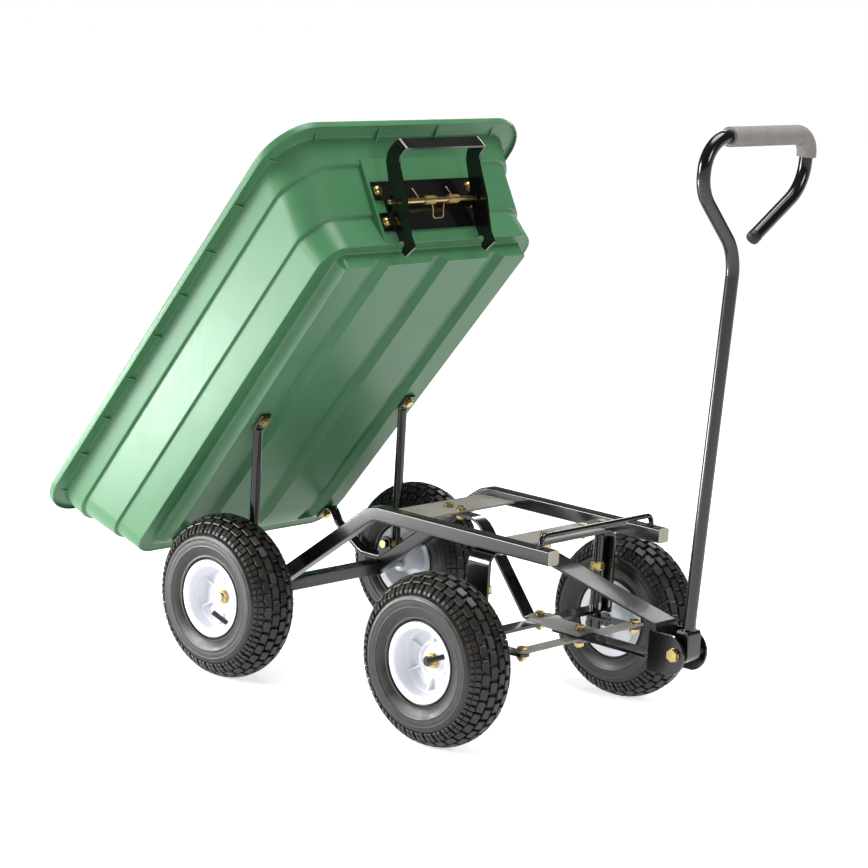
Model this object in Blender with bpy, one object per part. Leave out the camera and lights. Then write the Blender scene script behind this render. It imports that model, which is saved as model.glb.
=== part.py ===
# Garden hand cart with a tipping tub, steered front wheels and a pull handle.
# Metres, +Z up, +X towards the handle, floor at z = 0. Places below are counted
# from the floor point under the rear axle, which the cart frame empty carries.
import math

import bmesh
import bpy
from mathutils import Matrix, Vector

# Clearances
GAP = 0.0003
RUNNING_GAP = 0.0003

# Where the floor point under the rear axle lies from the part's origin
REAR_AXLE_PLACE_X = -0.1961

# Wheels
WHEEL_RADIUS = 0.130
WHEEL_BASE = 0.450
HALF_TRACK = 0.220
TYRE_RADIAL_HALF = 0.040
TYRE_AXIAL_HALF = 0.0435
TYRE_WALL = 0.005
TYRE_ARC_ANGLE = math.radians(116)
TYRE_STEPS = 24
BEAD_FOOT_RADIUS = 0.0545
TUBE_SECTION_RADIUS = 0.0325
TUBE_STEPS = 16
RIM_FLANGE_RADIUS = 0.061
RIM_FLANGE_Y = 0.037
RIM_FLANGE_THICK = 0.0022
RIM_BARREL_RADIUS = 0.0535
RIM_WALL = 0.0045
RIM_WEB_HALF = 0.0035
RIM_STEPS = 20
HUB_RADIUS = 0.019
HUB_OUT = 0.0075
HUB_IN = 0.046
VALVE_RADIUS = 0.004
VALVE_TILT = math.radians(38)
VALVE_OUTER_END = -0.034
VALVE_INNER_END = 0.021
VALVE_PLACE = (0.0215, 0.0500)
VALVE_HOLE_SPARE = 0.004
VALVE_ANGLES = {"rear_right": 140, "front_right": 66, "rear_left": 200, "front_left": 300}
AXLE_RADIUS = 0.008
AXLE_NUT_RADIUS = 0.0125
AXLE_NUT_LENGTH = 0.0085
AXLE_END_STICK_OUT = 0.0035
AXLE_SHOULDER_RADIUS = 0.0115
AXLE_SHOULDER_LENGTH = 0.0025
ROUND_STEPS = 12

# Frame rails, square tube bent down to the rear axle
RAIL_SIZE = 0.022
RAIL_WALL = 0.0018
RAIL_CORNER = 0.0022
RAIL_TOP = 0.308
RAIL_OUTER_Y = 0.140
RAIL_FRONT_X = 0.5832
RAIL_BEND_RADIUS = 0.045
LEG_ANGLE = math.radians(36.5)
LEG_TAIL = 0.014
CAP_THICK = 0.0022
CAP_INSERT_LENGTH = 0.012
CAP_BOSS_RADIUS = 0.006
CAP_BOSS_HEIGHT = 0.0008

# Plates and straps across the frame
MIDDLE_PLATE_X = (0.2265, 0.2945)
MIDDLE_PLATE_THICK = 0.003
MIDDLE_PLATE_DROP = 0.012
FRONT_PLATE_X = (0.4285, 0.4805)
FRONT_PLATE_THICK = 0.003
ARCH_WIDTH = 0.041
ARCH_THICK = 0.005
ARCH_OUTER_Y = 0.1495
ARCH_CORNER_RADIUS = 0.022
LOWER_BAR_TOP = 0.156
LOWER_BAR_THICK = 0.005
LOWER_BAR_WIDTH = 0.026
LOWER_BAR_X = 0.4555
BRACE_WIDTH = 0.025
BRACE_THICK = 0.004
BRACE_REAR_X = 0.248
BRACE_BEND_X = 0.330
BRACE_FOOT_BEND_X = 0.4375
BRACE_FOOT_END_X = 0.4715
BRACE_BOLT_X = (0.2606, 0.2863)
STRIKER_X = RAIL_FRONT_X - 0.0247
STRIKER_Z = 0.3245
STRIKER_RADIUS = 0.004
STRIKER_LEG_Z = 0.2975
STRIKER_BEND_RADIUS = 0.012

# Steering
STEER_X = 0.4585
KINGPIN_Y = 0.132
KINGPIN_RADIUS = 0.006
KINGPIN_SLEEVE_RADIUS = 0.008
KINGPIN_NUT_RADIUS = 0.0115
KINGPIN_NUT_Z = (0.219, 0.2315)
KINGPIN_HEAD_HEIGHT = 0.010
KNUCKLE_SLEEVE_RADIUS = 0.0115
KNUCKLE_SLEEVE_BOTTOM = 0.112
STEER_ARM_LENGTH = 0.080
STEER_ARM_WIDTH = 0.024
FLAT_THICK = 0.004
TIE_ROD_WIDTH = 0.020
PLATE_WIDTH = 0.048
PLATE_END_X = 0.5555
PLATE_REAR_REACH = 0.015
PLATE_REAR_HALF = 0.007
ARM_WIDTH = 0.032
ARM_THICK = 0.006
ARM_REAR_X = 0.497
STRAP_PIVOT_Z = 0.260
STRAP_BEND_X = 0.466
STRAP_TIP_X = 0.697
STRAP_TIP_Z = 0.2064
STRAP_LIP_Z = 0.188
BOLT_RADIUS = 0.0042
SMALL_HEAD_RADIUS = 0.0085
SMALL_HEAD_HEIGHT = 0.0055
PIVOT_COLLAR_RADIUS = 0.010

# Draw head and handle
HEAD_BACK_X = 0.6905
HEAD_BOTTOM_Z = 0.138
HEAD_TOP_Z = 0.1985
HEAD_HALF_WIDTH = 0.029
HEAD_WALL = 0.004
HEAD_NOSE_X = 0.7237
HEAD_NOSE_Z = 0.168
HEAD_NOSE_RADIUS = 0.0315
HANDLE_PIVOT_X = 0.7377
HANDLE_PIVOT_Z = 0.171
HANDLE_PIN_RADIUS = 0.006
HANDLE_PIN_HEAD_RADIUS = 0.010
HANDLE_PIN_HEAD_HEIGHT = 0.006
HANDLE_FOOT_HALF_WIDTH = 0.0155
HANDLE_FOOT_RADIUS = 0.015
HANDLE_FOOT_TOP = 0.205
HANDLE_LEAN = 0.054
HANDLE_RADIUS = 0.0098
HANDLE_WALL = 0.0015
LOOP_START_Z = 0.757
LOOP_RIGHT_Y = -0.0945
LOOP_LEFT_Y = 0.143
LOOP_TOP_Z = 0.9225
LOOP_LOW_Z = LOOP_TOP_Z - 0.0745
LOOP_END = (0.037, 0.777)
LOOP_RADII = (0.080, 0.060, 0.045, 0.030, 0.062)
GRIP_START_Y = -0.047
GRIP_END_Z = LOOP_TOP_Z - 0.032
GRIP_RADIUS = 0.0145

# Tub, given in its lowered place on the rails
TUB_PIVOT = (-0.003, 0.165)
TUB_TILT = math.radians(52.2)
TUB_WALL = 0.0045
PAD_FRONT_X = 0.5310
PAD_REAR_X = -0.0663
RAMP_RISE = 0.0077
RAMP_REACH = 0.0457
FLOOR_RISE = 0.0137
FLOOR_REACH = 0.0472
GROOVE_SPACING = 0.1315
GROOVE_WIDTH = 0.040
GROOVE_BOTTOM_WIDTH = 0.014
GROOVE_DEPTH = 0.010
GROOVE_REAR_X = -0.1095
PANEL_HALF_WIDTH = 0.117
PANEL_FOOT_X = 0.5539
PANEL_FOOT_HEIGHT = 0.0262
PANEL_TOP_HEIGHT = 0.1497
PANEL_LEAN = 0.46

# Tub supports
SUPPORT_Y = HALF_TRACK - TYRE_AXIAL_HALF - 0.0115
SUPPORT_RADIUS = 0.008
SUPPORT_TOP_Z = 0.384
SUPPORT_KNEE_Z = 0.134
SUPPORT_KNEE_X = -0.078
SUPPORT_KNEE_RADIUS = 0.035
SUPPORT_REAR_BEND = (-0.137, 0.174)
TAB_THICK = 0.005
TAB_WIDTH = 0.021
FRONT_TAB_BOLT_X = 0.1933
FRONT_TAB_END_X = 0.206
REAR_TAB_BOLT_X = -0.092
REAR_TAB_END_X = -0.1045
EAR_THICK = 0.004
EAR_RADIUS = 0.013
PIVOT_BOLT_RADIUS = 0.005

# Latch on the tub's front
LATCH_PIVOT = (0.5965, 0.3775)
LATCH_PLATE_HALF_WIDTH = 0.112
LATCH_PLATE_WAIST = 0.0935
LATCH_PLATE_V = (0.0165, 0.0465, 0.067, 0.097)
LATCH_PLATE_THICK = 0.003
LATCH_LUG_Y = 0.0840
LATCH_LUG_THICK = 0.003
LATCH_LUG_RADIUS = 0.009
LATCH_ROD_RADIUS = 0.004
LATCH_ROD_HALF = 0.106
BAIL_INNER_Y = 0.0885
BAIL_THICK = 0.004
BAIL_NOTCH_RADIUS = 0.0055
SPRING_WIRE_RADIUS = 0.001
SPRING_COIL_RADIUS = 0.0062
SPRING_TURNS = 5
SPRING_PITCH = 0.0048
SPRING_POINTS_PER_TURN = 8
SPRING_START_Y = -0.028
SPRING_LOOP_WIDTH = 0.029
SPRING_LOOP_LENGTH = 0.024
SPRING_LEG_LENGTH = 0.026

# Derived places
AXLE_Z = WHEEL_RADIUS
RAIL_Z = RAIL_TOP - RAIL_SIZE / 2
RAIL_Y = RAIL_OUTER_Y - RAIL_SIZE / 2
RAIL_INNER_Y = RAIL_OUTER_Y - RAIL_SIZE
RAIL_BOTTOM = RAIL_TOP - RAIL_SIZE
RAIL_BEND_X = (RAIL_Z - AXLE_Z) / math.tan(LEG_ANGLE)
ARCH_TOP = RAIL_BOTTOM - GAP
ARCH_UNDERSIDE = ARCH_TOP - ARCH_THICK
BRACE_Z = RAIL_TOP - MIDDLE_PLATE_DROP - MIDDLE_PLATE_THICK - GAP - BRACE_THICK / 2
BRACE_FOOT_Z = LOWER_BAR_TOP + GAP + BRACE_THICK / 2
PLATE_REAR_Z = BRACE_FOOT_Z + BRACE_THICK / 2 + GAP + FLAT_THICK / 2
PLATE_Z = PLATE_REAR_Z - FLAT_THICK
ARM_Z = PLATE_Z - FLAT_THICK / 2 - GAP - ARM_THICK / 2
TIE_ROD_Z = ARM_Z - ARM_THICK / 2 - GAP - FLAT_THICK / 2
LOW_EYE_Z = TIE_ROD_Z - FLAT_THICK - GAP
KNUCKLE_ARM_Z = TIE_ROD_Z - FLAT_THICK - GAP
KNUCKLE_SLEEVE_TOP = LOWER_BAR_TOP - LOWER_BAR_THICK - GAP
HUB_INNER_Y = HALF_TRACK - HUB_IN
AXLE_TIP_Y = HALF_TRACK + HUB_OUT + GAP + AXLE_NUT_LENGTH + AXLE_END_STICK_OUT
PAD_Z = RAIL_TOP + GAP
STRAP_WIDTH = 2 * (HEAD_HALF_WIDTH - HEAD_WALL - GAP)
SIDES = (("right", -1), ("left", 1))

# Scene
for old in list(bpy.data.objects):
    bpy.data.objects.remove(old, do_unlink=True)


# Finishes
def finish(name, colour, roughness, metallic=0.0):
    material = bpy.data.materials.new(name)
    material.use_nodes = True
    shader = material.node_tree.nodes["Principled BSDF"]
    shader.inputs["Base Color"].default_value = (*colour, 1.0)
    shader.inputs["Roughness"].default_value = roughness
    shader.inputs["Metallic"].default_value = metallic
    return material


BLACK_PAINT = finish("black_frame_paint", (0.020, 0.020, 0.022), 0.38)
GREY_PAINT = finish("grey_strap_paint", (0.105, 0.105, 0.105), 0.42)
GREEN_PLASTIC = finish("green_tub_plastic", (0.085, 0.255, 0.130), 0.45)
WHITE_PLASTIC = finish("white_rim_plastic", (0.780, 0.790, 0.820), 0.40)
GREY_PLASTIC = finish("grey_cap_plastic", (0.420, 0.430, 0.400), 0.50)
TYRE_RUBBER = finish("tyre_rubber", (0.024, 0.023, 0.022), 0.80)
TUBE_RUBBER = finish("tube_rubber", (0.030, 0.030, 0.030), 0.60)
GRIP_FOAM = finish("grip_foam", (0.120, 0.120, 0.125), 0.85)
YELLOW_ZINC = finish("yellow_zinc", (0.600, 0.420, 0.170), 0.32, 1.0)
BRIGHT_STEEL = finish("bright_steel", (0.560, 0.560, 0.550), 0.25, 1.0)


# Bodies: one empty for each piece or group that moves
bodies = {}


def body(name, place, parent=None, turn=0.0):
    empty = bpy.data.objects.new(name, None)
    bpy.context.scene.collection.objects.link(empty)
    here = Vector(place)
    if parent is None:
        empty.location = here
        here = Vector((0, 0, 0))
    else:
        empty.parent = bodies[parent][0]
        empty.location = here - bodies[parent][1]
        empty.rotation_euler = (0, turn, 0)
    bodies[name] = (empty, here)
    return empty


body("cart_frame", (REAR_AXLE_PLACE_X, 0, 0))
body("tub_swing", (TUB_PIVOT[0], 0, TUB_PIVOT[1]), "cart_frame", -TUB_TILT)
body("latch_swing", (LATCH_PIVOT[0], 0, LATCH_PIVOT[1]), "tub_swing")
body("drawbar_swing", (STEER_X, 0, PLATE_Z), "cart_frame")
body("handle_swing", (HANDLE_PIVOT_X, 0, HANDLE_PIVOT_Z), "drawbar_swing")
for side_name, side in SIDES:
    body(f"rear_spin_{side_name}", (0, side * HALF_TRACK, AXLE_Z), "cart_frame")
    body(f"knuckle_swing_{side_name}", (STEER_X, side * KINGPIN_Y, KNUCKLE_ARM_Z), "cart_frame")
    body(f"front_spin_{side_name}", (WHEEL_BASE, side * HALF_TRACK, AXLE_Z), f"knuckle_swing_{side_name}")
    body(f"tie_rod_swing_{side_name}", (STEER_X + STEER_ARM_LENGTH, 0, TIE_ROD_Z), "drawbar_swing")


# Shape tools
def add_piece(name, shape, material, body_name, smooth_angle=35.0):
    empty, here = bodies[body_name]
    bmesh.ops.translate(shape, verts=shape.verts, vec=-here)
    bmesh.ops.recalc_face_normals(shape, faces=shape.faces)
    mesh = bpy.data.meshes.new(name)
    shape.to_mesh(mesh)
    shape.free()
    mesh.shade_smooth()
    mesh.set_sharp_from_angle(angle=math.radians(smooth_angle))
    mesh.materials.append(material)
    piece = bpy.data.objects.new(name, mesh)
    bpy.context.scene.collection.objects.link(piece)
    piece.parent = empty
    return piece


def combine(piece, shape, operation):
    tool = add_piece(f"{piece.name}_{operation.lower()}", shape, BLACK_PAINT, "cart_frame")
    tool.parent = piece.parent
    here = next(place for empty, place in bodies.values() if empty == piece.parent)
    tool.location = -here
    tool.hide_render = True
    tool.display_type = "WIRE"
    modifier = piece.modifiers.new(operation.title(), "BOOLEAN")
    modifier.operation = operation
    modifier.solver = "EXACT"
    modifier.object = tool


def cut(piece, *shapes):
    for shape in shapes:
        combine(piece, shape, "DIFFERENCE")


def join(piece, *shapes):
    for shape in shapes:
        combine(piece, shape, "UNION")


def prism(outline, low, high, axis="Z"):
    shape = bmesh.new()
    places = {
        "X": lambda u, v: (low, u, v),
        "Y": lambda u, v: (u, low, v),
        "Z": lambda u, v: (u, v, low),
    }[axis]
    corners = [shape.verts.new(places(u, v)) for u, v in outline]
    face = shape.faces.new(corners)
    step = {"X": (high - low, 0, 0), "Y": (0, high - low, 0), "Z": (0, 0, high - low)}[axis]
    grown = bmesh.ops.extrude_face_region(shape, geom=[face])
    moved = [item for item in grown["geom"] if isinstance(item, bmesh.types.BMVert)]
    bmesh.ops.translate(shape, verts=moved, vec=step)
    return shape


def box(x, y, z):
    return prism([(x[0], y[0]), (x[1], y[0]), (x[1], y[1]), (x[0], y[1])], z[0], z[1])


def turned(profile, steps, axis="Z", place=(0, 0, 0), start=0.0):
    # profile holds (radius, height) pairs; ends on the axis close the shape
    shape = bmesh.new()
    first = Vector((math.cos(start), math.sin(start), 0))
    corners = [shape.verts.new(first * radius + Vector((0, 0, height))) for radius, height in profile]
    edges = [shape.edges.new(pair) for pair in zip(corners, corners[1:])]
    if profile[0][0] > 0:
        edges.append(shape.edges.new((corners[-1], corners[0])))
    bmesh.ops.spin(
        shape, geom=corners + edges, cent=(0, 0, 0), axis=(0, 0, 1), angle=math.tau, steps=steps, use_merge=True
    )
    bmesh.ops.remove_doubles(shape, verts=shape.verts, dist=1e-6)
    if axis == "Y":
        shape.transform(Matrix.Rotation(math.radians(-90), 4, "X"))
    bmesh.ops.translate(shape, verts=shape.verts, vec=place)
    return shape


def bar(radius, low, high, axis="Z", place=(0, 0, 0), steps=ROUND_STEPS):
    return turned([(0, low), (radius, low), (radius, high), (0, high)], steps, axis, place)


def rounded(points, radii, steps=5):
    # a run of straight pieces whose inner corners become arcs
    points = [Vector(point) for point in points]
    path = [points[0]]
    for before, corner, after, radius in zip(points, points[1:], points[2:], radii):
        back = (before - corner).normalized()
        ahead = (after - corner).normalized()
        half = back.angle(ahead) / 2
        reach = radius / math.tan(half)
        middle = corner + (back + ahead).normalized() * (radius / math.sin(half))
        first = corner + back * reach - middle
        last = corner + ahead * reach - middle
        sweep = first.angle(last)
        for step in range(steps + 1):
            share = step / steps
            turn = math.sin(sweep * (1 - share)) * first + math.sin(sweep * share) * last
            path.append(middle + turn / math.sin(sweep))
    path.append(points[-1])
    return path


def circle(radius, steps):
    return [(radius * math.cos(math.tau * k / steps), radius * math.sin(math.tau * k / steps)) for k in range(steps)]


def square(size, corner):
    half = size / 2
    inner = half - corner
    return [
        (half, inner), (inner, half), (-inner, half), (-half, inner),
        (-half, -inner), (-inner, -half), (inner, -half), (half, -inner),
    ]


def strip(width, thick):
    return [(width / 2, thick / 2), (-width / 2, thick / 2), (-width / 2, -thick / 2), (width / 2, -thick / 2)]


def swept(path, outer, across, inner=None):
    # sections are (across, up) pairs; outer may be a function of the point's number
    shape = bmesh.new()
    across = Vector(across).normalized()

    def rings(section_at):
        made = []
        for k, point in enumerate(path):
            before = path[max(k - 1, 0)]
            after = path[min(k + 1, len(path) - 1)]
            along = (after - before).normalized()
            side = (across - along * across.dot(along)).normalized()
            up = along.cross(side)
            stretch = 1.0
            if 0 < k < len(path) - 1:
                bend = (point - before).angle(after - point)
                stretch = 1 / math.cos(bend / 2)
            section = section_at(k)
            made.append([shape.verts.new(point + side * a + up * b * stretch) for a, b in section])
        return made

    def skin(made):
        for ring, after in zip(made, made[1:]):
            count = len(ring)
            for k in range(count):
                shape.faces.new((ring[k], ring[(k + 1) % count], after[(k + 1) % count], after[k]))

    outside = rings(outer if callable(outer) else lambda k: outer)
    skin(outside)
    if inner is None:
        shape.faces.new(outside[0])
        shape.faces.new(outside[-1])
        return shape
    inside = rings(lambda k: inner)
    skin(inside)
    for end in (0, -1):
        count = len(outside[end])
        for k in range(count):
            shape.faces.new((outside[end][k], outside[end][(k + 1) % count], inside[end][(k + 1) % count], inside[end][k]))
    return shape


def lofted(rings):
    shape = bmesh.new()
    made = [[shape.verts.new(point) for point in ring] for ring in rings]
    for ring, after in zip(made, made[1:]):
        count = len(ring)
        for k in range(count):
            shape.faces.new((ring[k], ring[(k + 1) % count], after[(k + 1) % count], after[k]))
    shape.faces.new(made[0])
    shape.faces.new(made[-1])
    return shape


def eye_strip(first, last, width, low, high, end_steps=6, round_first=True):
    # a flat bar between two places in the XY plane with rounded ends
    first = Vector((*first, 0))
    last = Vector((*last, 0))
    along = (last - first).normalized()
    heading = math.atan2(along.y, along.x)
    outline = []
    for centre, start in ((last, heading - math.pi / 2), (first, heading + math.pi / 2)):
        if centre is first and not round_first:
            outline.append((centre.x - along.y * width / 2, centre.y + along.x * width / 2))
            outline.append((centre.x + along.y * width / 2, centre.y - along.x * width / 2))
            continue
        for k in range(end_steps + 1):
            angle = start + math.pi * k / end_steps
            outline.append((centre.x + math.cos(angle) * width / 2, centre.y + math.sin(angle) * width / 2))
    return prism(outline, low, high)


def bolt(name, x, y, sections, body_name, material=None):
    # sections are (radius, bottom, top) from the bottom up
    profile = [(0, sections[0][1])]
    for radius, low, high in sections:
        profile += [(radius, low), (radius, high)]
    profile.append((0, sections[-1][2]))
    shape = turned(profile, ROUND_STEPS, "Z", (x, y, 0))
    return add_piece(name, shape, material or YELLOW_ZINC, body_name)


# Frame
def frame_rails():
    foot = (-math.cos(LEG_ANGLE) * LEG_TAIL, AXLE_Z - math.sin(LEG_ANGLE) * LEG_TAIL)
    for side_name, side in SIDES:
        y = side * RAIL_Y
        path = rounded(
            [(RAIL_FRONT_X, y, RAIL_Z), (RAIL_BEND_X, y, RAIL_Z), (foot[0], y, foot[1])], [RAIL_BEND_RADIUS], 6
        )
        outer = square(RAIL_SIZE, RAIL_CORNER)
        inner = square(RAIL_SIZE - 2 * RAIL_WALL, RAIL_CORNER / 2)
        rail = add_piece(
            f"frame_rail_{side_name}", swept(path, outer, (0, 1, 0), inner), BLACK_PAINT, "cart_frame"
        )
        join(rail, pivot_ear(side))
        cut(rail, bar(AXLE_RADIUS + RUNNING_GAP, -2 * RAIL_SIZE, 2 * RAIL_SIZE, "Y", (0, y, AXLE_Z)))
        cut(rail, bar(PIVOT_BOLT_RADIUS + GAP, -RAIL_SIZE, RAIL_SIZE, "Y", (TUB_PIVOT[0], y, TUB_PIVOT[1])))
        cut(rail, bar(STRIKER_RADIUS + GAP, RAIL_Z, RAIL_TOP + RAIL_SIZE, "Z", (STRIKER_X, y, 0)))
        rail_cap(side_name, y)


def pivot_ear(side):
    # a plate welded to the rail's outer face that carries the tub's pivot
    x, z = TUB_PIVOT
    outline = []
    for k in range(9):
        angle = math.radians(-10 + 200 * k / 8)
        outline.append((x + EAR_RADIUS * math.cos(angle), z + EAR_RADIUS * math.sin(angle)))
    outline += [(-0.0150, AXLE_Z - 0.010), (-0.0080, AXLE_Z - 0.014), (0.0080, AXLE_Z - 0.0045), (0.0210, AXLE_Z + 0.012)]
    low = RAIL_OUTER_Y - RAIL_WALL / 2
    high = RAIL_OUTER_Y + EAR_THICK
    return prism(outline, min(side * low, side * high), max(side * low, side * high), "Y")


def rail_cap(side_name, y):
    bore = RAIL_SIZE - 2 * RAIL_WALL - 2 * GAP
    rear = RAIL_FRONT_X - CAP_INSERT_LENGTH
    seat = RAIL_FRONT_X + GAP
    face = seat + CAP_THICK
    angles = [math.radians(22.5 + 45 * k) for k in range(8)]
    boss = [(CAP_BOSS_RADIUS * math.cos(angle), CAP_BOSS_RADIUS * math.sin(angle)) for angle in angles]
    rings = [
        (rear, square(bore - 0.001, RAIL_CORNER / 2)),
        (rear + 0.002, square(bore, RAIL_CORNER / 2)),
        (seat, square(bore, RAIL_CORNER / 2)),
        (seat, square(RAIL_SIZE, RAIL_CORNER)),
        (face - 0.0006, square(RAIL_SIZE, RAIL_CORNER)),
        (face, square(RAIL_SIZE - 0.0014, RAIL_CORNER)),
        (face, boss),
        (face + CAP_BOSS_HEIGHT, [(0.85 * u, 0.85 * v) for u, v in boss]),
    ]
    shape = lofted([[(x, y + u, RAIL_Z + v) for u, v in section] for x, section in rings])
    add_piece(f"rail_cap_{side_name}", shape, GREY_PLASTIC, "cart_frame")


def rear_axle():
    half = RAIL_INNER_Y - GAP
    path = [Vector((0, -half, AXLE_Z)), Vector((0, half, AXLE_Z))]
    outer = square(RAIL_SIZE, RAIL_CORNER)
    inner = square(RAIL_SIZE - 2 * RAIL_WALL, RAIL_CORNER / 2)
    add_piece("rear_axle_beam", swept(path, outer, (1, 0, 0), inner), BLACK_PAINT, "cart_frame")
    shoulder = HUB_INNER_Y - GAP
    step = shoulder - AXLE_SHOULDER_LENGTH
    half_profile = [
        (AXLE_RADIUS, step), (AXLE_SHOULDER_RADIUS, step), (AXLE_SHOULDER_RADIUS, shoulder),
        (AXLE_RADIUS, shoulder), (AXLE_RADIUS, AXLE_TIP_Y), (0, AXLE_TIP_Y),
    ]
    mirrored = [(radius, -y) for radius, y in reversed(half_profile)]
    add_piece("rear_axle_rod", turned(mirrored + half_profile, ROUND_STEPS, "Y", (0, 0, AXLE_Z)), BRIGHT_STEEL, "cart_frame")


def cross_plates():
    half = RAIL_INNER_Y - GAP
    top = RAIL_TOP - MIDDLE_PLATE_DROP
    middle = add_piece(
        "middle_cross_plate", box(MIDDLE_PLATE_X, (-half, half), (top - MIDDLE_PLATE_THICK, top)), GREY_PAINT, "cart_frame"
    )
    for x in BRACE_BOLT_X:
        cut(middle, bar(BOLT_RADIUS + GAP, BRACE_Z, RAIL_TOP, "Z", (x, 0, 0)))
    low = ARCH_TOP + GAP
    front = add_piece(
        "front_cross_plate", box(FRONT_PLATE_X, (-half, half), (low, low + FRONT_PLATE_THICK)), GREY_PAINT, "cart_frame"
    )
    cut(front, bar(BOLT_RADIUS + GAP, ARCH_UNDERSIDE, RAIL_TOP, "Z", (STEER_X, 0, 0)))


def front_arch():
    y = ARCH_OUTER_Y - ARCH_THICK / 2
    z = ARCH_TOP - ARCH_THICK / 2
    foot = LOWER_BAR_TOP - LOWER_BAR_THICK
    radius = ARCH_CORNER_RADIUS - ARCH_THICK / 2
    path = rounded([(STEER_X, -y, foot), (STEER_X, -y, z), (STEER_X, y, z), (STEER_X, y, foot)], [radius, radius], 6)
    arch = add_piece("front_arch", swept(path, strip(ARCH_WIDTH, ARCH_THICK), (1, 0, 0)), BLACK_PAINT, "cart_frame")
    cut(arch, bar(BOLT_RADIUS + GAP, ARCH_UNDERSIDE - RAIL_SIZE, RAIL_TOP, "Z", (STEER_X, 0, 0)))
    half = ARCH_OUTER_Y - ARCH_THICK - GAP
    edge = LOWER_BAR_WIDTH / 2
    lower = add_piece(
        "lower_axle_bar",
        box((LOWER_BAR_X - edge, LOWER_BAR_X + edge), (-half, half), (foot, LOWER_BAR_TOP)),
        BLACK_PAINT,
        "cart_frame",
    )
    for y in (-KINGPIN_Y, KINGPIN_Y):
        cut(lower, bar(KINGPIN_RADIUS + RUNNING_GAP, foot - RAIL_SIZE, LOWER_BAR_TOP + RAIL_SIZE, "Z", (STEER_X, y, 0)))
    cut(lower, bar(BOLT_RADIUS + GAP, foot - RAIL_SIZE, LOWER_BAR_TOP + RAIL_SIZE, "Z", (STEER_X, 0, 0)))


def centre_brace():
    path = rounded(
        [
            (BRACE_REAR_X, 0, BRACE_Z), (BRACE_BEND_X, 0, BRACE_Z),
            (BRACE_FOOT_BEND_X, 0, BRACE_FOOT_Z), (BRACE_FOOT_END_X, 0, BRACE_FOOT_Z),
        ],
        [0.040, 0.008],
    )
    brace = add_piece("centre_brace", swept(path, strip(BRACE_WIDTH, BRACE_THICK), (0, 1, 0)), BLACK_PAINT, "cart_frame")
    for x in BRACE_BOLT_X:
        cut(brace, bar(BOLT_RADIUS + GAP, BRACE_Z - RAIL_SIZE, BRACE_Z + RAIL_SIZE, "Z", (x, 0, 0)))
    cut(brace, bar(BOLT_RADIUS + GAP, BRACE_FOOT_Z - RAIL_SIZE / 2, BRACE_FOOT_Z + RAIL_SIZE / 2, "Z", (STEER_X, 0, 0)))
    plate_top = RAIL_TOP - MIDDLE_PLATE_DROP
    low = BRACE_Z - BRACE_THICK / 2 - GAP
    bolt(
        "brace_bolt", BRACE_BOLT_X[1], 0,
        [
            (SMALL_HEAD_RADIUS, low - SMALL_HEAD_HEIGHT, low),
            (BOLT_RADIUS, low, plate_top + GAP),
            (SMALL_HEAD_RADIUS, plate_top + GAP, plate_top + GAP + SMALL_HEAD_HEIGHT),
        ],
        "cart_frame",
    )


def striker_rod():
    y = RAIL_Y
    path = rounded(
        [
            (STRIKER_X, -y, STRIKER_LEG_Z), (STRIKER_X, -y, STRIKER_Z),
            (STRIKER_X, y, STRIKER_Z), (STRIKER_X, y, STRIKER_LEG_Z),
        ],
        [STRIKER_BEND_RADIUS, STRIKER_BEND_RADIUS],
    )
    add_piece("striker_rod", swept(path, circle(STRIKER_RADIUS, ROUND_STEPS), (1, 0, 0)), BLACK_PAINT, "cart_frame")


# Steering
def arch_underside_at(y):
    # how high a post that reaches out to y stands clear of the arch's round corner
    inner = ARCH_CORNER_RADIUS - ARCH_THICK
    out = max(0.0, y - (ARCH_OUTER_Y - ARCH_CORNER_RADIUS))
    facet = 0.0003
    return ARCH_UNDERSIDE - GAP - facet - (inner - math.sqrt(inner * inner - out * out))


def kingpins_and_knuckles():
    for side_name, side in SIDES:
        y = side * KINGPIN_Y
        head_top = KNUCKLE_SLEEVE_BOTTOM - GAP
        bolt(
            f"kingpin_{side_name}", STEER_X, y,
            [
                (KINGPIN_NUT_RADIUS, head_top - KINGPIN_HEAD_HEIGHT, head_top),
                (KINGPIN_RADIUS, head_top, KINGPIN_NUT_Z[0]),
                (KINGPIN_NUT_RADIUS, KINGPIN_NUT_Z[0], KINGPIN_NUT_Z[1]),
                (KINGPIN_SLEEVE_RADIUS, KINGPIN_NUT_Z[1], arch_underside_at(KINGPIN_Y + KINGPIN_SLEEVE_RADIUS)),
            ],
            "cart_frame", BLACK_PAINT,
        )
        knuckle(side_name, side, y)


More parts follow.
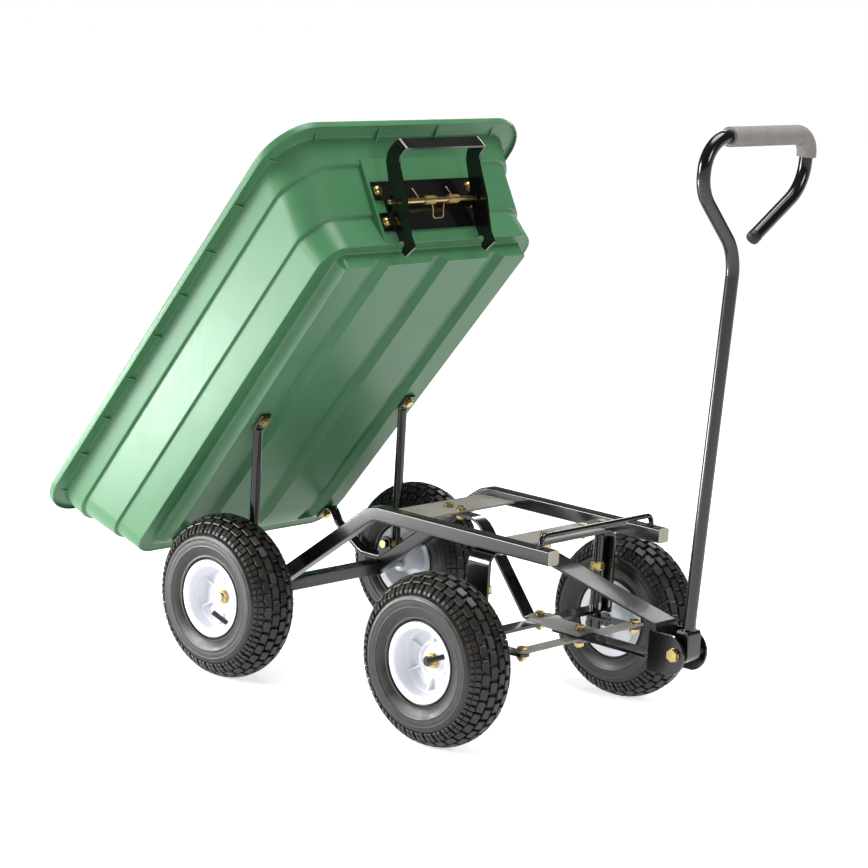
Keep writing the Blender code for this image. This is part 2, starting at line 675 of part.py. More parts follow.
def knuckle(side_name, side, y):
    body_name = f"knuckle_swing_{side_name}"
    sleeve = bar(KNUCKLE_SLEEVE_RADIUS, KNUCKLE_SLEEVE_BOTTOM, KNUCKLE_SLEEVE_TOP, "Z", (STEER_X, y, 0))
    piece = add_piece(f"knuckle_{side_name}", sleeve, BLACK_PAINT, body_name)
    shoulder = HUB_INNER_Y - GAP
    step = shoulder - AXLE_SHOULDER_LENGTH
    profile = [
        (0, KINGPIN_Y), (AXLE_RADIUS, KINGPIN_Y), (AXLE_RADIUS, step), (AXLE_SHOULDER_RADIUS, step),
        (AXLE_SHOULDER_RADIUS, shoulder), (AXLE_RADIUS, shoulder), (AXLE_RADIUS, AXLE_TIP_Y), (0, AXLE_TIP_Y),
    ]
    stub = turned([(radius, side * along) for radius, along in profile], ROUND_STEPS, "Y", (WHEEL_BASE, 0, AXLE_Z))
    low = KNUCKLE_ARM_Z - FLAT_THICK / 2
    arm = eye_strip((STEER_X, y), (STEER_X + STEER_ARM_LENGTH, y), STEER_ARM_WIDTH, low, low + FLAT_THICK)
    join(piece, stub, arm)
    cut(
        piece,
        bar(KINGPIN_RADIUS + RUNNING_GAP, KNUCKLE_SLEEVE_BOTTOM - GAP, KNUCKLE_SLEEVE_TOP + GAP, "Z", (STEER_X, y, 0)),
        bar(BOLT_RADIUS + GAP, low - RAIL_SIZE, low + RAIL_SIZE, "Z", (STEER_X + STEER_ARM_LENGTH, y, 0)),
    )
    rod_top = TIE_ROD_Z + FLAT_THICK / 2 + GAP
    bolt(
        f"tie_rod_bolt_{side_name}", STEER_X + STEER_ARM_LENGTH, y,
        [
            (SMALL_HEAD_RADIUS, low - GAP - SMALL_HEAD_HEIGHT, low - GAP),
            (BOLT_RADIUS, low - GAP, rod_top),
            (SMALL_HEAD_RADIUS, rod_top, rod_top + SMALL_HEAD_HEIGHT),
        ],
        body_name,
    )


def tie_rods():
    x = STEER_X + STEER_ARM_LENGTH
    hole = BOLT_RADIUS + RUNNING_GAP
    right = eye_strip((x, 0), (x, -KINGPIN_Y), TIE_ROD_WIDTH, TIE_ROD_Z - FLAT_THICK / 2, TIE_ROD_Z + FLAT_THICK / 2)
    rod = add_piece("tie_rod_right", right, GREY_PAINT, "tie_rod_swing_right")
    for y in (0, -KINGPIN_Y):
        cut(rod, bar(hole, TIE_ROD_Z - RAIL_SIZE / 2, TIE_ROD_Z + RAIL_SIZE / 2, "Z", (x, y, 0)))
    # the left rod dips under the right one's eye at the steering bolt
    dip_start = TIE_ROD_WIDTH * 0.75
    dip_end = dip_start + 2.5 * (TIE_ROD_Z - LOW_EYE_Z)
    reach = KINGPIN_Y + TIE_ROD_WIDTH / 2
    path = [
        Vector((x, -TIE_ROD_WIDTH / 2, LOW_EYE_Z)), Vector((x, dip_start, LOW_EYE_Z)),
        Vector((x, dip_end, TIE_ROD_Z)), Vector((x, reach, TIE_ROD_Z)),
    ]
    rod = add_piece("tie_rod_left", swept(path, strip(TIE_ROD_WIDTH, FLAT_THICK), (1, 0, 0)), GREY_PAINT, "tie_rod_swing_left")
    for y in (0, KINGPIN_Y):
        cut(rod, bar(hole, LOW_EYE_Z - RAIL_SIZE / 2, TIE_ROD_Z + RAIL_SIZE / 2, "Z", (x, y, 0)))


def drawbar():
    half = STRAP_WIDTH / 2
    rear = STEER_X - PLATE_REAR_REACH
    path = rounded(
        [
            (rear, 0, STRAP_PIVOT_Z), (STRAP_BEND_X, 0, STRAP_PIVOT_Z),
            (STRAP_TIP_X, 0, STRAP_TIP_Z), (STRAP_TIP_X, 0, STRAP_LIP_Z),
        ],
        [0.012, 0.0035],
        4,
    )
    strap = add_piece("drawbar_strap", swept(path, strip(2 * half, FLAT_THICK), (0, 1, 0)), GREY_PAINT, "drawbar_swing")
    cut(strap, bar(BOLT_RADIUS + RUNNING_GAP, STRAP_PIVOT_Z - RAIL_SIZE / 2, STRAP_PIVOT_Z + RAIL_SIZE / 2, "Z", (STEER_X, 0, 0)))
    strap_top = STRAP_PIVOT_Z + FLAT_THICK / 2 + GAP
    strap_low = STRAP_PIVOT_Z - FLAT_THICK / 2 - GAP
    plate_top = ARCH_TOP + GAP + FRONT_PLATE_THICK + GAP
    bolt(
        "drawbar_top_bolt", STEER_X, 0,
        [
            (SMALL_HEAD_RADIUS, strap_low - SMALL_HEAD_HEIGHT, strap_low),
            (BOLT_RADIUS, strap_low, strap_top),
            (PIVOT_COLLAR_RADIUS, strap_top, ARCH_UNDERSIDE - GAP),
            (BOLT_RADIUS, ARCH_UNDERSIDE - GAP, plate_top),
            (SMALL_HEAD_RADIUS, plate_top, plate_top + SMALL_HEAD_HEIGHT),
        ],
        "cart_frame",
    )
    steering_plate(rear)
    steering_arm()
    draw_head()


def steering_plate(rear):
    step_start = STEER_X + 0.0195
    step_end = step_start + 2 * (PLATE_REAR_Z - PLATE_Z)
    path = [
        Vector((rear, 0, PLATE_REAR_Z)), Vector((step_start, 0, PLATE_REAR_Z)),
        Vector((step_end, 0, PLATE_Z)), Vector((PLATE_END_X, 0, PLATE_Z)),
    ]
    plate = add_piece("steering_plate", swept(path, strip(PLATE_WIDTH, FLAT_THICK), (0, 1, 0)), GREY_PAINT, "drawbar_swing")
    # the rear corners are cut off, so that they swing clear of the brace
    past = rear - GAP
    wide = PLATE_WIDTH / 2
    for _, side in SIDES:
        corner = [(past, side * PLATE_REAR_HALF), (STEER_X, side * (wide + GAP)), (past, side * (wide + GAP))]
        cut(plate, prism(corner, PLATE_Z, PLATE_REAR_Z + FLAT_THICK))
    x = STEER_X + STEER_ARM_LENGTH
    for hole_x in (STEER_X, x):
        cut(plate, bar(BOLT_RADIUS + RUNNING_GAP, PLATE_Z - RAIL_SIZE, PLATE_REAR_Z + RAIL_SIZE, "Z", (hole_x, 0, 0)))
    bar_low = LOWER_BAR_TOP - LOWER_BAR_THICK - GAP
    plate_top = PLATE_REAR_Z + FLAT_THICK / 2 + GAP
    bolt(
        "drawbar_foot_bolt", STEER_X, 0,
        [
            (SMALL_HEAD_RADIUS, bar_low - SMALL_HEAD_HEIGHT, bar_low),
            (BOLT_RADIUS, bar_low, plate_top),
            (SMALL_HEAD_RADIUS, plate_top, plate_top + SMALL_HEAD_HEIGHT),
        ],
        "cart_frame",
    )
    eye_low = LOW_EYE_Z - FLAT_THICK / 2 - GAP
    top = PLATE_Z + FLAT_THICK / 2 + GAP
    bolt(
        "steering_bolt", x, 0,
        [
            (SMALL_HEAD_RADIUS, eye_low - SMALL_HEAD_HEIGHT, eye_low),
            (BOLT_RADIUS, eye_low, top),
            (SMALL_HEAD_RADIUS, top, top + SMALL_HEAD_HEIGHT),
        ],
        "drawbar_swing",
    )


def steering_arm():
    end = HEAD_BACK_X - GAP - ARM_WIDTH / 2
    low = ARM_Z - ARM_THICK / 2
    shape = eye_strip((ARM_REAR_X, 0), (end, 0), ARM_WIDTH, low, low + ARM_THICK, 8, False)
    arm = add_piece("drawbar_arm", shape, BLACK_PAINT, "drawbar_swing")
    cut(arm, bar(BOLT_RADIUS + RUNNING_GAP, low - RAIL_SIZE, low + RAIL_SIZE, "Z", (STEER_X + STEER_ARM_LENGTH, 0, 0)))


def draw_head():
    outline = [(HEAD_BACK_X, HEAD_BOTTOM_Z)]
    rise = HEAD_NOSE_RADIUS
    for k in range(13):
        angle = math.radians(-90 + 180 * k / 12)
        x = HEAD_NOSE_X + rise * math.cos(angle)
        z = HEAD_NOSE_Z + rise * math.sin(angle)
        outline.append((x, min(max(z, HEAD_BOTTOM_Z), HEAD_TOP_Z)))
    outline.append((HEAD_BACK_X, HEAD_TOP_Z))
    head = add_piece("drawbar_head", prism(outline, -HEAD_HALF_WIDTH, HEAD_HALF_WIDTH, "Y"), BLACK_PAINT, "drawbar_swing")
    inside = HEAD_HALF_WIDTH - HEAD_WALL
    cut(
        head,
        box((HEAD_BACK_X + HEAD_WALL, HEAD_NOSE_X + 2 * rise), (-inside, inside), (HEAD_BOTTOM_Z - 0.01, HEAD_TOP_Z + 0.01)),
        bar(HANDLE_PIN_RADIUS + GAP, -0.05, 0.05, "Y", (HANDLE_PIVOT_X, 0, HANDLE_PIVOT_Z)),
    )
    outer = HEAD_HALF_WIDTH + GAP
    foot = HANDLE_FOOT_HALF_WIDTH + GAP
    collar = inside - GAP
    half_profile = [
        (HANDLE_PIN_RADIUS, foot), (HANDLE_PIN_HEAD_RADIUS, foot), (HANDLE_PIN_HEAD_RADIUS, collar),
        (HANDLE_PIN_RADIUS, collar), (HANDLE_PIN_RADIUS, outer), (HANDLE_PIN_HEAD_RADIUS, outer),
        (HANDLE_PIN_HEAD_RADIUS, outer + HANDLE_PIN_HEAD_HEIGHT), (0, outer + HANDLE_PIN_HEAD_HEIGHT),
    ]
    mirrored = [(radius, -y) for radius, y in reversed(half_profile)]
    pin = turned(mirrored + half_profile, ROUND_STEPS, "Y", (HANDLE_PIVOT_X, 0, HANDLE_PIVOT_Z))
    add_piece("handle_pivot_bolt", pin, YELLOW_ZINC, "drawbar_swing")


# Handle
def handle_point(y, z):
    return (HANDLE_PIVOT_X + HANDLE_LEAN * (z - HANDLE_PIVOT_Z), y, z)


def handle():
    corners = [
        (0, HANDLE_FOOT_TOP - 0.012), (0, LOOP_START_Z), (LOOP_RIGHT_Y, LOOP_LOW_Z), (LOOP_RIGHT_Y, LOOP_TOP_Z),
        (LOOP_LEFT_Y, LOOP_TOP_Z), (LOOP_LEFT_Y, LOOP_LOW_Z), LOOP_END,
    ]
    path = rounded([handle_point(y, z) for y, z in corners], LOOP_RADII, 4)
    steps = 10
    tube = swept(path, circle(HANDLE_RADIUS, steps), (1, 0, -HANDLE_LEAN), circle(HANDLE_RADIUS - HANDLE_WALL, steps))
    piece = add_piece("handle_tube", tube, BLACK_PAINT, "handle_swing", 50)
    join(piece, handle_foot())
    cut(piece, bar(HANDLE_PIN_RADIUS + RUNNING_GAP, -0.05, 0.05, "Y", (HANDLE_PIVOT_X, 0, HANDLE_PIVOT_Z)))
    grip_path = rounded(
        [handle_point(GRIP_START_Y, LOOP_TOP_Z), handle_point(LOOP_LEFT_Y, LOOP_TOP_Z), handle_point(LOOP_LEFT_Y, GRIP_END_Z)],
        [LOOP_RADII[3]],
        4,
    )
    bore = (HANDLE_RADIUS + GAP) / math.cos(math.pi / steps)
    sleeve = swept(grip_path, circle(GRIP_RADIUS, steps), (1, 0, -HANDLE_LEAN), circle(bore, steps))
    add_piece("handle_grip", sleeve, GRIP_FOAM, "handle_swing", 50)


def handle_foot():
    # a solid lug, round about the pivot, that narrows to the tube above the draw head
    outline = []
    for k in range(13):
        angle = math.radians(170 + 200 * k / 12)
        outline.append(
            (HANDLE_PIVOT_X + HANDLE_FOOT_RADIUS * math.cos(angle), HANDLE_PIVOT_Z + HANDLE_FOOT_RADIUS * math.sin(angle))
        )
    top = handle_point(0, HANDLE_FOOT_TOP)
    outline += [(top[0] + 0.012, top[2] - 0.006), (top[0] + 0.010, top[2]), (top[0] - 0.010, top[2]), (top[0] - 0.012, top[2] - 0.006)]
    return prism(outline, -HANDLE_FOOT_HALF_WIDTH, HANDLE_FOOT_HALF_WIDTH, "Y")


# Wheels
def wheel(name, place, out, body_name):
    tyre(name, place, body_name)
    rim(name, place, out, body_name)
    inner_tube(name, place, out, body_name)


def tyre(name, place, body_name):
    centre = WHEEL_RADIUS - TYRE_RADIAL_HALF
    profile = []
    bead = RIM_FLANGE_Y - RIM_FLANGE_THICK - GAP
    for k in range(9):
        angle = TYRE_ARC_ANGLE * (1 - k / 4)
        profile.append((centre + TYRE_RADIAL_HALF * math.cos(angle), TYRE_AXIAL_HALF * math.sin(angle)))
    profile += [(RIM_FLANGE_RADIUS, -bead), (BEAD_FOOT_RADIUS, -bead), (BEAD_FOOT_RADIUS, TYRE_WALL - bead)]
    for k in range(7):
        angle = TYRE_ARC_ANGLE * (k / 3 - 1) * 0.96
        profile.append(
            (centre + (TYRE_RADIAL_HALF - TYRE_WALL) * math.cos(angle), (TYRE_AXIAL_HALF - TYRE_WALL) * math.sin(angle))
        )
    profile += [(BEAD_FOOT_RADIUS, bead - TYRE_WALL), (BEAD_FOOT_RADIUS, bead), (RIM_FLANGE_RADIUS, bead)]
    # facets, not the edges between them, touch the floor
    half_step = math.pi / TYRE_STEPS
    profile = [(radius / math.cos(half_step), y) for radius, y in profile]
    shape = turned(profile, TYRE_STEPS, "Y", place, math.pi / 2 + half_step)
    add_piece(f"{name}_tyre", shape, TYRE_RUBBER, body_name, 40)


def rim(name, place, out, body_name):
    lip = RIM_FLANGE_Y - RIM_FLANGE_THICK
    inner = RIM_BARREL_RADIUS - RIM_WALL
    bore = AXLE_RADIUS + RUNNING_GAP
    root = RIM_FLANGE_RADIUS - 0.0135
    profile = [
        (RIM_FLANGE_RADIUS, RIM_FLANGE_Y), (root, RIM_FLANGE_Y - 0.001), (inner - 0.001, RIM_FLANGE_Y - 0.006),
        (inner - 0.003, RIM_WEB_HALF), (HUB_RADIUS, RIM_WEB_HALF), (HUB_RADIUS - 0.001, HUB_OUT), (bore, HUB_OUT),
        (bore, -HUB_IN), (HUB_RADIUS - 0.003, -HUB_IN), (HUB_RADIUS, -RIM_WEB_HALF), (inner - 0.003, -RIM_WEB_HALF),
        (root, 0.001 - RIM_FLANGE_Y), (RIM_FLANGE_RADIUS, -RIM_FLANGE_Y),
        (RIM_FLANGE_RADIUS, -lip), (RIM_BARREL_RADIUS, -lip), (RIM_BARREL_RADIUS, lip), (RIM_FLANGE_RADIUS, lip),
    ]
    shape = turned([(radius, out * y) for radius, y in profile], RIM_STEPS, "Y", place)
    piece = add_piece(f"{name}_rim", shape, WHITE_PLASTIC, body_name)
    cut(piece, valve_bar(name, place, out, VALVE_RADIUS + GAP, VALVE_HOLE_SPARE))


def valve_bar(name, place, out, radius, spare=0.0):
    # the valve runs from the tube through the rim's barrel towards the outside
    shape = bar(radius, VALVE_OUTER_END - spare, VALVE_INNER_END - 2 * spare, "Z", (0, 0, 0), 10)
    shape.transform(Matrix.Rotation(VALVE_TILT * out, 4, "X"))
    bmesh.ops.translate(shape, verts=shape.verts, vec=(0, out * VALVE_PLACE[0], VALVE_PLACE[1]))
    shape.transform(Matrix.Rotation(math.radians(VALVE_ANGLES[name]), 4, "Y"))
    bmesh.ops.translate(shape, verts=shape.verts, vec=place)
    return shape


def inner_tube(name, place, out, body_name):
    centre = WHEEL_RADIUS - TYRE_RADIAL_HALF - 0.0005
    profile = [(centre + u, v) for u, v in circle(TUBE_SECTION_RADIUS, 8)]
    shape = turned(profile, TUBE_STEPS, "Y", place)
    piece = add_piece(f"{name}_inner_tube", shape, TUBE_RUBBER, body_name)
    join(piece, valve_bar(name, place, out, VALVE_RADIUS))


def axle_nut(name, x, out, body_name):
    low = HALF_TRACK + HUB_OUT + GAP
    bore = AXLE_RADIUS + GAP
    profile = [(bore, low), (AXLE_NUT_RADIUS, low), (AXLE_NUT_RADIUS, low + AXLE_NUT_LENGTH), (bore, low + AXLE_NUT_LENGTH)]
    shape = turned([(radius, out * y) for radius, y in profile], 12, "Y", (x, 0, AXLE_Z))
    add_piece(f"{name}_axle_nut", shape, YELLOW_ZINC, body_name, 20)


def wheels():
    for side_name, side in SIDES:
        rear = f"rear_{side_name}"
        wheel(rear, (0, side * HALF_TRACK, AXLE_Z), side, f"rear_spin_{side_name}")
        axle_nut(rear, 0, side, "cart_frame")
        front = f"front_{side_name}"
        wheel(front, (WHEEL_BASE, side * HALF_TRACK, AXLE_Z), side, f"front_spin_{side_name}")
        axle_nut(front, WHEEL_BASE, side, f"knuckle_swing_{side_name}")


# Tub
def tub_ring(height, front, rear, half_front, half_rear, corner):
    # a rectangle with round corners, a little narrower at the rear
    points = []
    steps = 5
    corners = (
        (front - corner, half_front - corner, 0), (rear + corner, half_rear - corner, 90),
        (rear + corner, corner - half_rear, 180), (front - corner, corner - half_front, 270),
    )
    for x, y, start in corners:
        for k in range(steps + 1):
            angle = math.radians(start + 90 * k / steps)
            points.append((x + corner * math.cos(angle), y + corner * math.sin(angle), PAD_Z + height))
    return points


def tub():
    # height above the pad, front and rear ends, half widths at the front and rear, corner radius
    outside = [
        (0.0000, PAD_FRONT_X, PAD_REAR_X, 0.2037, 0.1875, 0.006),
        (RAMP_RISE, PAD_FRONT_X + 0.0015, PAD_REAR_X - RAMP_REACH, 0.2050, 0.1890, 0.008),
        (0.0162, PAD_FRONT_X + 0.0030, PAD_REAR_X - 0.0537, 0.2062, 0.1905, 0.010),
        (0.0225, PAD_FRONT_X + 0.0042, PAD_REAR_X - 0.0647, 0.2075, 0.1920, 0.012),
        (0.0240, PAD_FRONT_X + 0.0060, PAD_REAR_X - 0.0672, 0.2105, 0.1955, 0.016),
        (0.0242, PAD_FRONT_X + 0.0170, PAD_REAR_X - 0.0797, 0.2290, 0.2170, 0.034),
        (0.0225, PAD_FRONT_X + 0.0215, PAD_REAR_X - 0.0840, 0.2370, 0.2260, 0.043),
        (0.0727, 0.5605, -0.1680, 0.2415, 0.2320, 0.050),
        (0.0737, 0.5660, -0.1735, 0.2470, 0.2375, 0.055),
        (0.1430, 0.5990, -0.2010, 0.2500, 0.2430, 0.062),
        (0.1440, 0.6050, -0.2070, 0.2560, 0.2490, 0.067),
        (0.1840, 0.6225, -0.2125, 0.2634, 0.2572, 0.070),
        (0.1855, 0.6480, -0.2190, 0.2840, 0.2840, 0.078),
        (0.1905, 0.6505, -0.2209, 0.2856, 0.2856, 0.079),
        (0.1921, 0.6490, -0.2193, 0.2840, 0.2840, 0.078),
    ]
    inside = [
        (0.1921, 0.6180, -0.2080, 0.2590, 0.2525, 0.068),
        (0.1890, 0.6165, -0.2065, 0.2575, 0.2510, 0.067),
        (0.1485, 0.6000, -0.2025, 0.2515, 0.2445, 0.064),
        (0.1475, 0.5945, -0.1965, 0.2455, 0.2385, 0.058),
        (0.0782, 0.5620, -0.1695, 0.2425, 0.2330, 0.052),
        (0.0772, 0.5565, -0.1640, 0.2370, 0.2275, 0.047),
        (0.0292, 0.5480, -0.1460, 0.2320, 0.2210, 0.038),
        (0.0287, PAD_FRONT_X, -0.1270, 0.2045, 0.1890, 0.012),
        (0.0230, PAD_FRONT_X - 0.0005, -0.1255, 0.2035, 0.1880, 0.011),
        (TUB_WALL + FLOOR_RISE, PAD_FRONT_X - 0.0015, PAD_REAR_X - FLOOR_REACH, 0.2020, 0.1865, 0.010),
        (TUB_WALL, PAD_FRONT_X - 0.0045, PAD_REAR_X, 0.1992, 0.1830, 0.008),
    ]
    shape = lofted([tub_ring(*ring) for ring in outside + inside])
    piece = add_piece("tub", shape, GREEN_PLASTIC, "tub_swing", 30)
    for k in (-1, 0, 1):
        join(piece, groove_bar(k * GROOVE_SPACING, TUB_WALL, TUB_WALL / 2, GROOVE_REAR_X - 0.004, PAD_FRONT_X - GAP))
    join(piece, latch_panel())
    for k in (-1, 0, 1):
        cut(piece, groove_bar(k * GROOVE_SPACING, 0, -GROOVE_DEPTH / 2, GROOVE_REAR_X, PAD_FRONT_X + 0.030))
    for x in (FRONT_TAB_BOLT_X, REAR_TAB_BOLT_X):
        for _, side in SIDES:
            cut(piece, bar(BOLT_RADIUS + GAP, PAD_Z - 0.02, PAD_Z + 0.04, "Z", (x, side * SUPPORT_Y, 0), 10))


def groove_bar(y, margin, low, rear, front):
    # a groove's trapezoid, or the rib over it, that follows the pad and then the ramp
    slope = (GROOVE_WIDTH - GROOVE_BOTTOM_WIDTH) / 2 / GROOVE_DEPTH
    high = GROOVE_DEPTH + margin
    wide = GROOVE_WIDTH / 2 + margin - slope * low
    narrow = GROOVE_BOTTOM_WIDTH / 2 + margin
    section = [(wide, low), (narrow, high), (-narrow, high), (-wide, low)]
    path = [Vector((x, y, ramp_z(x))) for x in (rear, PAD_REAR_X, front)]
    return swept(path, section, (0, 1, 0))


def panel_x(height):
    return PANEL_FOOT_X + PANEL_LEAN * (height - PANEL_FOOT_HEIGHT)


def latch_panel():
    # a flat face that stands out of the stepped front wall for the latch
    behind = [
        (0.1492, 0.6035), (0.1420, 0.5955), (0.0737, 0.5640), (0.0727, 0.5585), (0.0437, 0.5530),
        (PANEL_FOOT_HEIGHT, 0.5500),
    ]
    outline = [(panel_x(height), PAD_Z + height) for height in (PANEL_FOOT_HEIGHT, PANEL_TOP_HEIGHT)]
    outline += [(x, PAD_Z + height) for height, x in behind]
    return prism(outline, -PANEL_HALF_WIDTH, PANEL_HALF_WIDTH, "Y")


def ramp_z(x):
    # the underside rises behind the pad's rear edge
    return PAD_Z + max(0.0, PAD_REAR_X - x) * RAMP_RISE / RAMP_REACH


def tipped(point):
    # where a place of the tipped tub lies when the tub is lowered
    x = point[0] - TUB_PIVOT[0]
    z = point[1] - TUB_PIVOT[1]
    cosine = math.cos(TUB_TILT)
    sine = math.sin(TUB_TILT)
    return (TUB_PIVOT[0] + x * cosine + z * sine, TUB_PIVOT[1] - x * sine + z * cosine)


def tub_supports():
    half = TAB_THICK / 2
    front_z = PAD_Z - GAP - half
    leg = tipped((TUB_PIVOT[0], SUPPORT_TOP_Z))
    knee = tipped((TUB_PIVOT[0], SUPPORT_KNEE_Z))
    low = tipped((SUPPORT_KNEE_X, SUPPORT_KNEE_Z))
    rear = tipped(SUPPORT_REAR_BEND)
    tab_rise = RAMP_RISE / RAMP_REACH
    bolt_z = ramp_z(REAR_TAB_BOLT_X) - GAP - half * math.hypot(1, tab_rise)
    rear_end_z = bolt_z + (REAR_TAB_BOLT_X - REAR_TAB_END_X) * tab_rise
    bend_x = PAD_REAR_X - 0.002
    rear_bend_z = bolt_z - (bend_x - REAR_TAB_BOLT_X) * tab_rise
    lead = (leg[0] - knee[0]) / (leg[1] - knee[1])
    front_bend_x = leg[0] + (front_z - leg[1]) * lead
    for side_name, side in SIDES:
        y = side * SUPPORT_Y
        corners = [
            (FRONT_TAB_END_X, front_z), (front_bend_x, front_z), knee, low, rear, (bend_x, rear_bend_z),
            (REAR_TAB_END_X, rear_end_z),
        ]
        path = rounded([(x, y, z) for x, z in corners], [0.012, SUPPORT_KNEE_RADIUS, 0.030, 0.016, 0.009], 4)
        count = len(path)
        flat = {0, 1, 2, 3, 4, *range(count - 5, count)}
        half_flat = {5, count - 6, count - 7}

        def section(k):
            if k in flat:
                return [(a * TAB_WIDTH / 2 / SUPPORT_RADIUS, max(min(b, half), -half)) for a, b in circle(SUPPORT_RADIUS, 10)]
            if k in half_flat:
                return [(a * 1.15, b * 0.72) for a, b in circle(SUPPORT_RADIUS, 10)]
            return circle(SUPPORT_RADIUS, 10)

        support = add_piece(f"tub_support_{side_name}", swept(path, section, (0, 1, 0)), BLACK_PAINT, "tub_swing", 40)
        for x in (FRONT_TAB_BOLT_X, REAR_TAB_BOLT_X):
            cut(support, bar(BOLT_RADIUS + GAP, PAD_Z - 0.02, PAD_Z + 0.02, "Z", (x, y, 0), 10))
        cut(support, bar(PIVOT_BOLT_RADIUS + RUNNING_GAP, -0.02, 0.02, "Y", (TUB_PIVOT[0], y, TUB_PIVOT[1])))
        support_bolts(side_name, y, front_z - half, bolt_z - half)
        pivot_bolt(side_name, side)


def support_bolts(side_name, y, front_low, rear_low):
    reach = BOLT_RADIUS + SMALL_HEAD_RADIUS
    floor_rise = FLOOR_RISE / FLOOR_REACH
    rear_floor = PAD_Z + TUB_WALL + (PAD_REAR_X - REAR_TAB_BOLT_X + reach) * floor_rise
    tilt_drop = SMALL_HEAD_RADIUS * RAMP_RISE / RAMP_REACH + 0.0002
    places = (
        ("front", FRONT_TAB_BOLT_X, front_low - GAP, PAD_Z + TUB_WALL + GAP),
        ("rear", REAR_TAB_BOLT_X, rear_low - GAP - tilt_drop, rear_floor + GAP),
    )
    for end, x, low, high in places:
        profile = [
            (0, low - SMALL_HEAD_HEIGHT), (SMALL_HEAD_RADIUS, low - SMALL_HEAD_HEIGHT), (SMALL_HEAD_RADIUS, low),
            (BOLT_RADIUS, low), (BOLT_RADIUS, high), (SMALL_HEAD_RADIUS, high),
            (SMALL_HEAD_RADIUS, high + SMALL_HEAD_HEIGHT), (0, high + SMALL_HEAD_HEIGHT),
        ]
        shape = turned(profile, 10, "Z", (x, y, 0))
        add_piece(f"support_bolt_{end}_{side_name}", shape, YELLOW_ZINC, "tub_swing")


def pivot_bolt(side_name, side):
    inner = RAIL_OUTER_Y - RAIL_WALL / 2 - GAP
    ear = RAIL_OUTER_Y + EAR_THICK + GAP
    tube_in = SUPPORT_Y - SUPPORT_RADIUS - GAP
    tube_out = SUPPORT_Y + SUPPORT_RADIUS + GAP
    nut = 0.0055
    head = 0.0045
    profile = [
        (0, inner - nut), (SMALL_HEAD_RADIUS, inner - nut), (SMALL_HEAD_RADIUS, inner), (PIVOT_BOLT_RADIUS, inner),
        (PIVOT_BOLT_RADIUS, ear), (SUPPORT_RADIUS, ear), (SUPPORT_RADIUS, tube_in), (PIVOT_BOLT_RADIUS, tube_in),
        (PIVOT_BOLT_RADIUS, tube_out), (SMALL_HEAD_RADIUS, tube_out), (SMALL_HEAD_RADIUS, tube_out + head),
        (0, tube_out + head),
    ]
    shape = turned([(radius, side * y) for radius, y in profile], ROUND_STEPS, "Y", (TUB_PIVOT[0], 0, TUB_PIVOT[1]))
    add_piece(f"tub_pivot_bolt_{side_name}", shape, YELLOW_ZINC, "cart_frame")


# Latch
def panel_frame():
    # u runs across the cart, v up the latch panel and w out of it
    length = math.hypot(PANEL_LEAN, 1)
    up = Vector((PANEL_LEAN, 0, 1)) / length
    out = Vector((1, 0, -PANEL_LEAN)) / length
    across = Vector((0, 1, 0))
    place = Vector((PANEL_FOOT_X, 0, PAD_Z + PANEL_FOOT_HEIGHT))
    frame = Matrix.Identity(4)
    for k, vector in enumerate((across, up, out)):
        frame.col[k] = (*vector, 0)
    frame.col[3] = (*place, 1)
    return frame


def latch():
    frame = panel_frame()
    pivot = frame.inverted() @ Vector((LATCH_PIVOT[0], 0, LATCH_PIVOT[1]))
    low, low_top, high_low, high = LATCH_PLATE_V
    wide = LATCH_PLATE_HALF_WIDTH
    waist = LATCH_PLATE_WAIST
    right = [(wide, low), (wide, low_top), (waist, low_top), (waist, high_low), (wide, high_low), (wide, high)]
    outline = right + [(-u, v) for u, v in reversed(right)]
    plate_shape = prism(outline, GAP, GAP + LATCH_PLATE_THICK)
    plate_shape.transform(frame)
    plate = add_piece("latch_plate", plate_shape, BLACK_PAINT, "tub_swing")
    for _, side in SIDES:
        join(plate, latch_lug(frame, pivot, side))
    cut(plate, bar(LATCH_ROD_RADIUS + GAP, -0.1, 0.1, "Y", (LATCH_PIVOT[0], 0, LATCH_PIVOT[1])))
    rod = bar(LATCH_ROD_RADIUS, -LATCH_ROD_HALF, LATCH_ROD_HALF, "Y", (LATCH_PIVOT[0], 0, LATCH_PIVOT[1]))
    add_piece("latch_rod", rod, YELLOW_ZINC, "tub_swing")
    latch_bail()
    latch_spring(frame, pivot)


def latch_lug(frame, pivot, side):
    outline = [(pivot.y - LATCH_LUG_RADIUS, GAP + LATCH_PLATE_THICK / 2)]
    for k in range(7):
        angle = math.radians(180 - 30 * k)
        outline.append((pivot.y + LATCH_LUG_RADIUS * math.cos(angle), pivot.z + LATCH_LUG_RADIUS * math.sin(angle)))
    outline.append((pivot.y + LATCH_LUG_RADIUS, GAP + LATCH_PLATE_THICK / 2))
    ends = sorted((side * LATCH_LUG_Y, side * (LATCH_LUG_Y + LATCH_LUG_THICK)))
    lug = prism(outline, ends[0], ends[1], "X")
    lug.transform(frame)
    return lug


def bail_outline():
    outline = [
        (0.6720, 0.4160), (0.6720, 0.4370), (0.6500, 0.4400), (0.6390, 0.4385), (0.6290, 0.4320), (0.5890, 0.3815),
        (0.5640, 0.3440), (0.5600, 0.3330),
    ]
    for k in range(9):
        angle = math.radians(125 - 250 * k / 8)
        outline.append((STRIKER_X + BAIL_NOTCH_RADIUS * math.cos(angle), STRIKER_Z + BAIL_NOTCH_RADIUS * math.sin(angle)))
    outline += [
        (0.5500, 0.3165), (0.5505, 0.3060), (0.5740, 0.3020), (0.5810, 0.3200), (0.6150, 0.3620), (0.6430, 0.4090),
        (0.6540, 0.4160),
    ]
    return outline


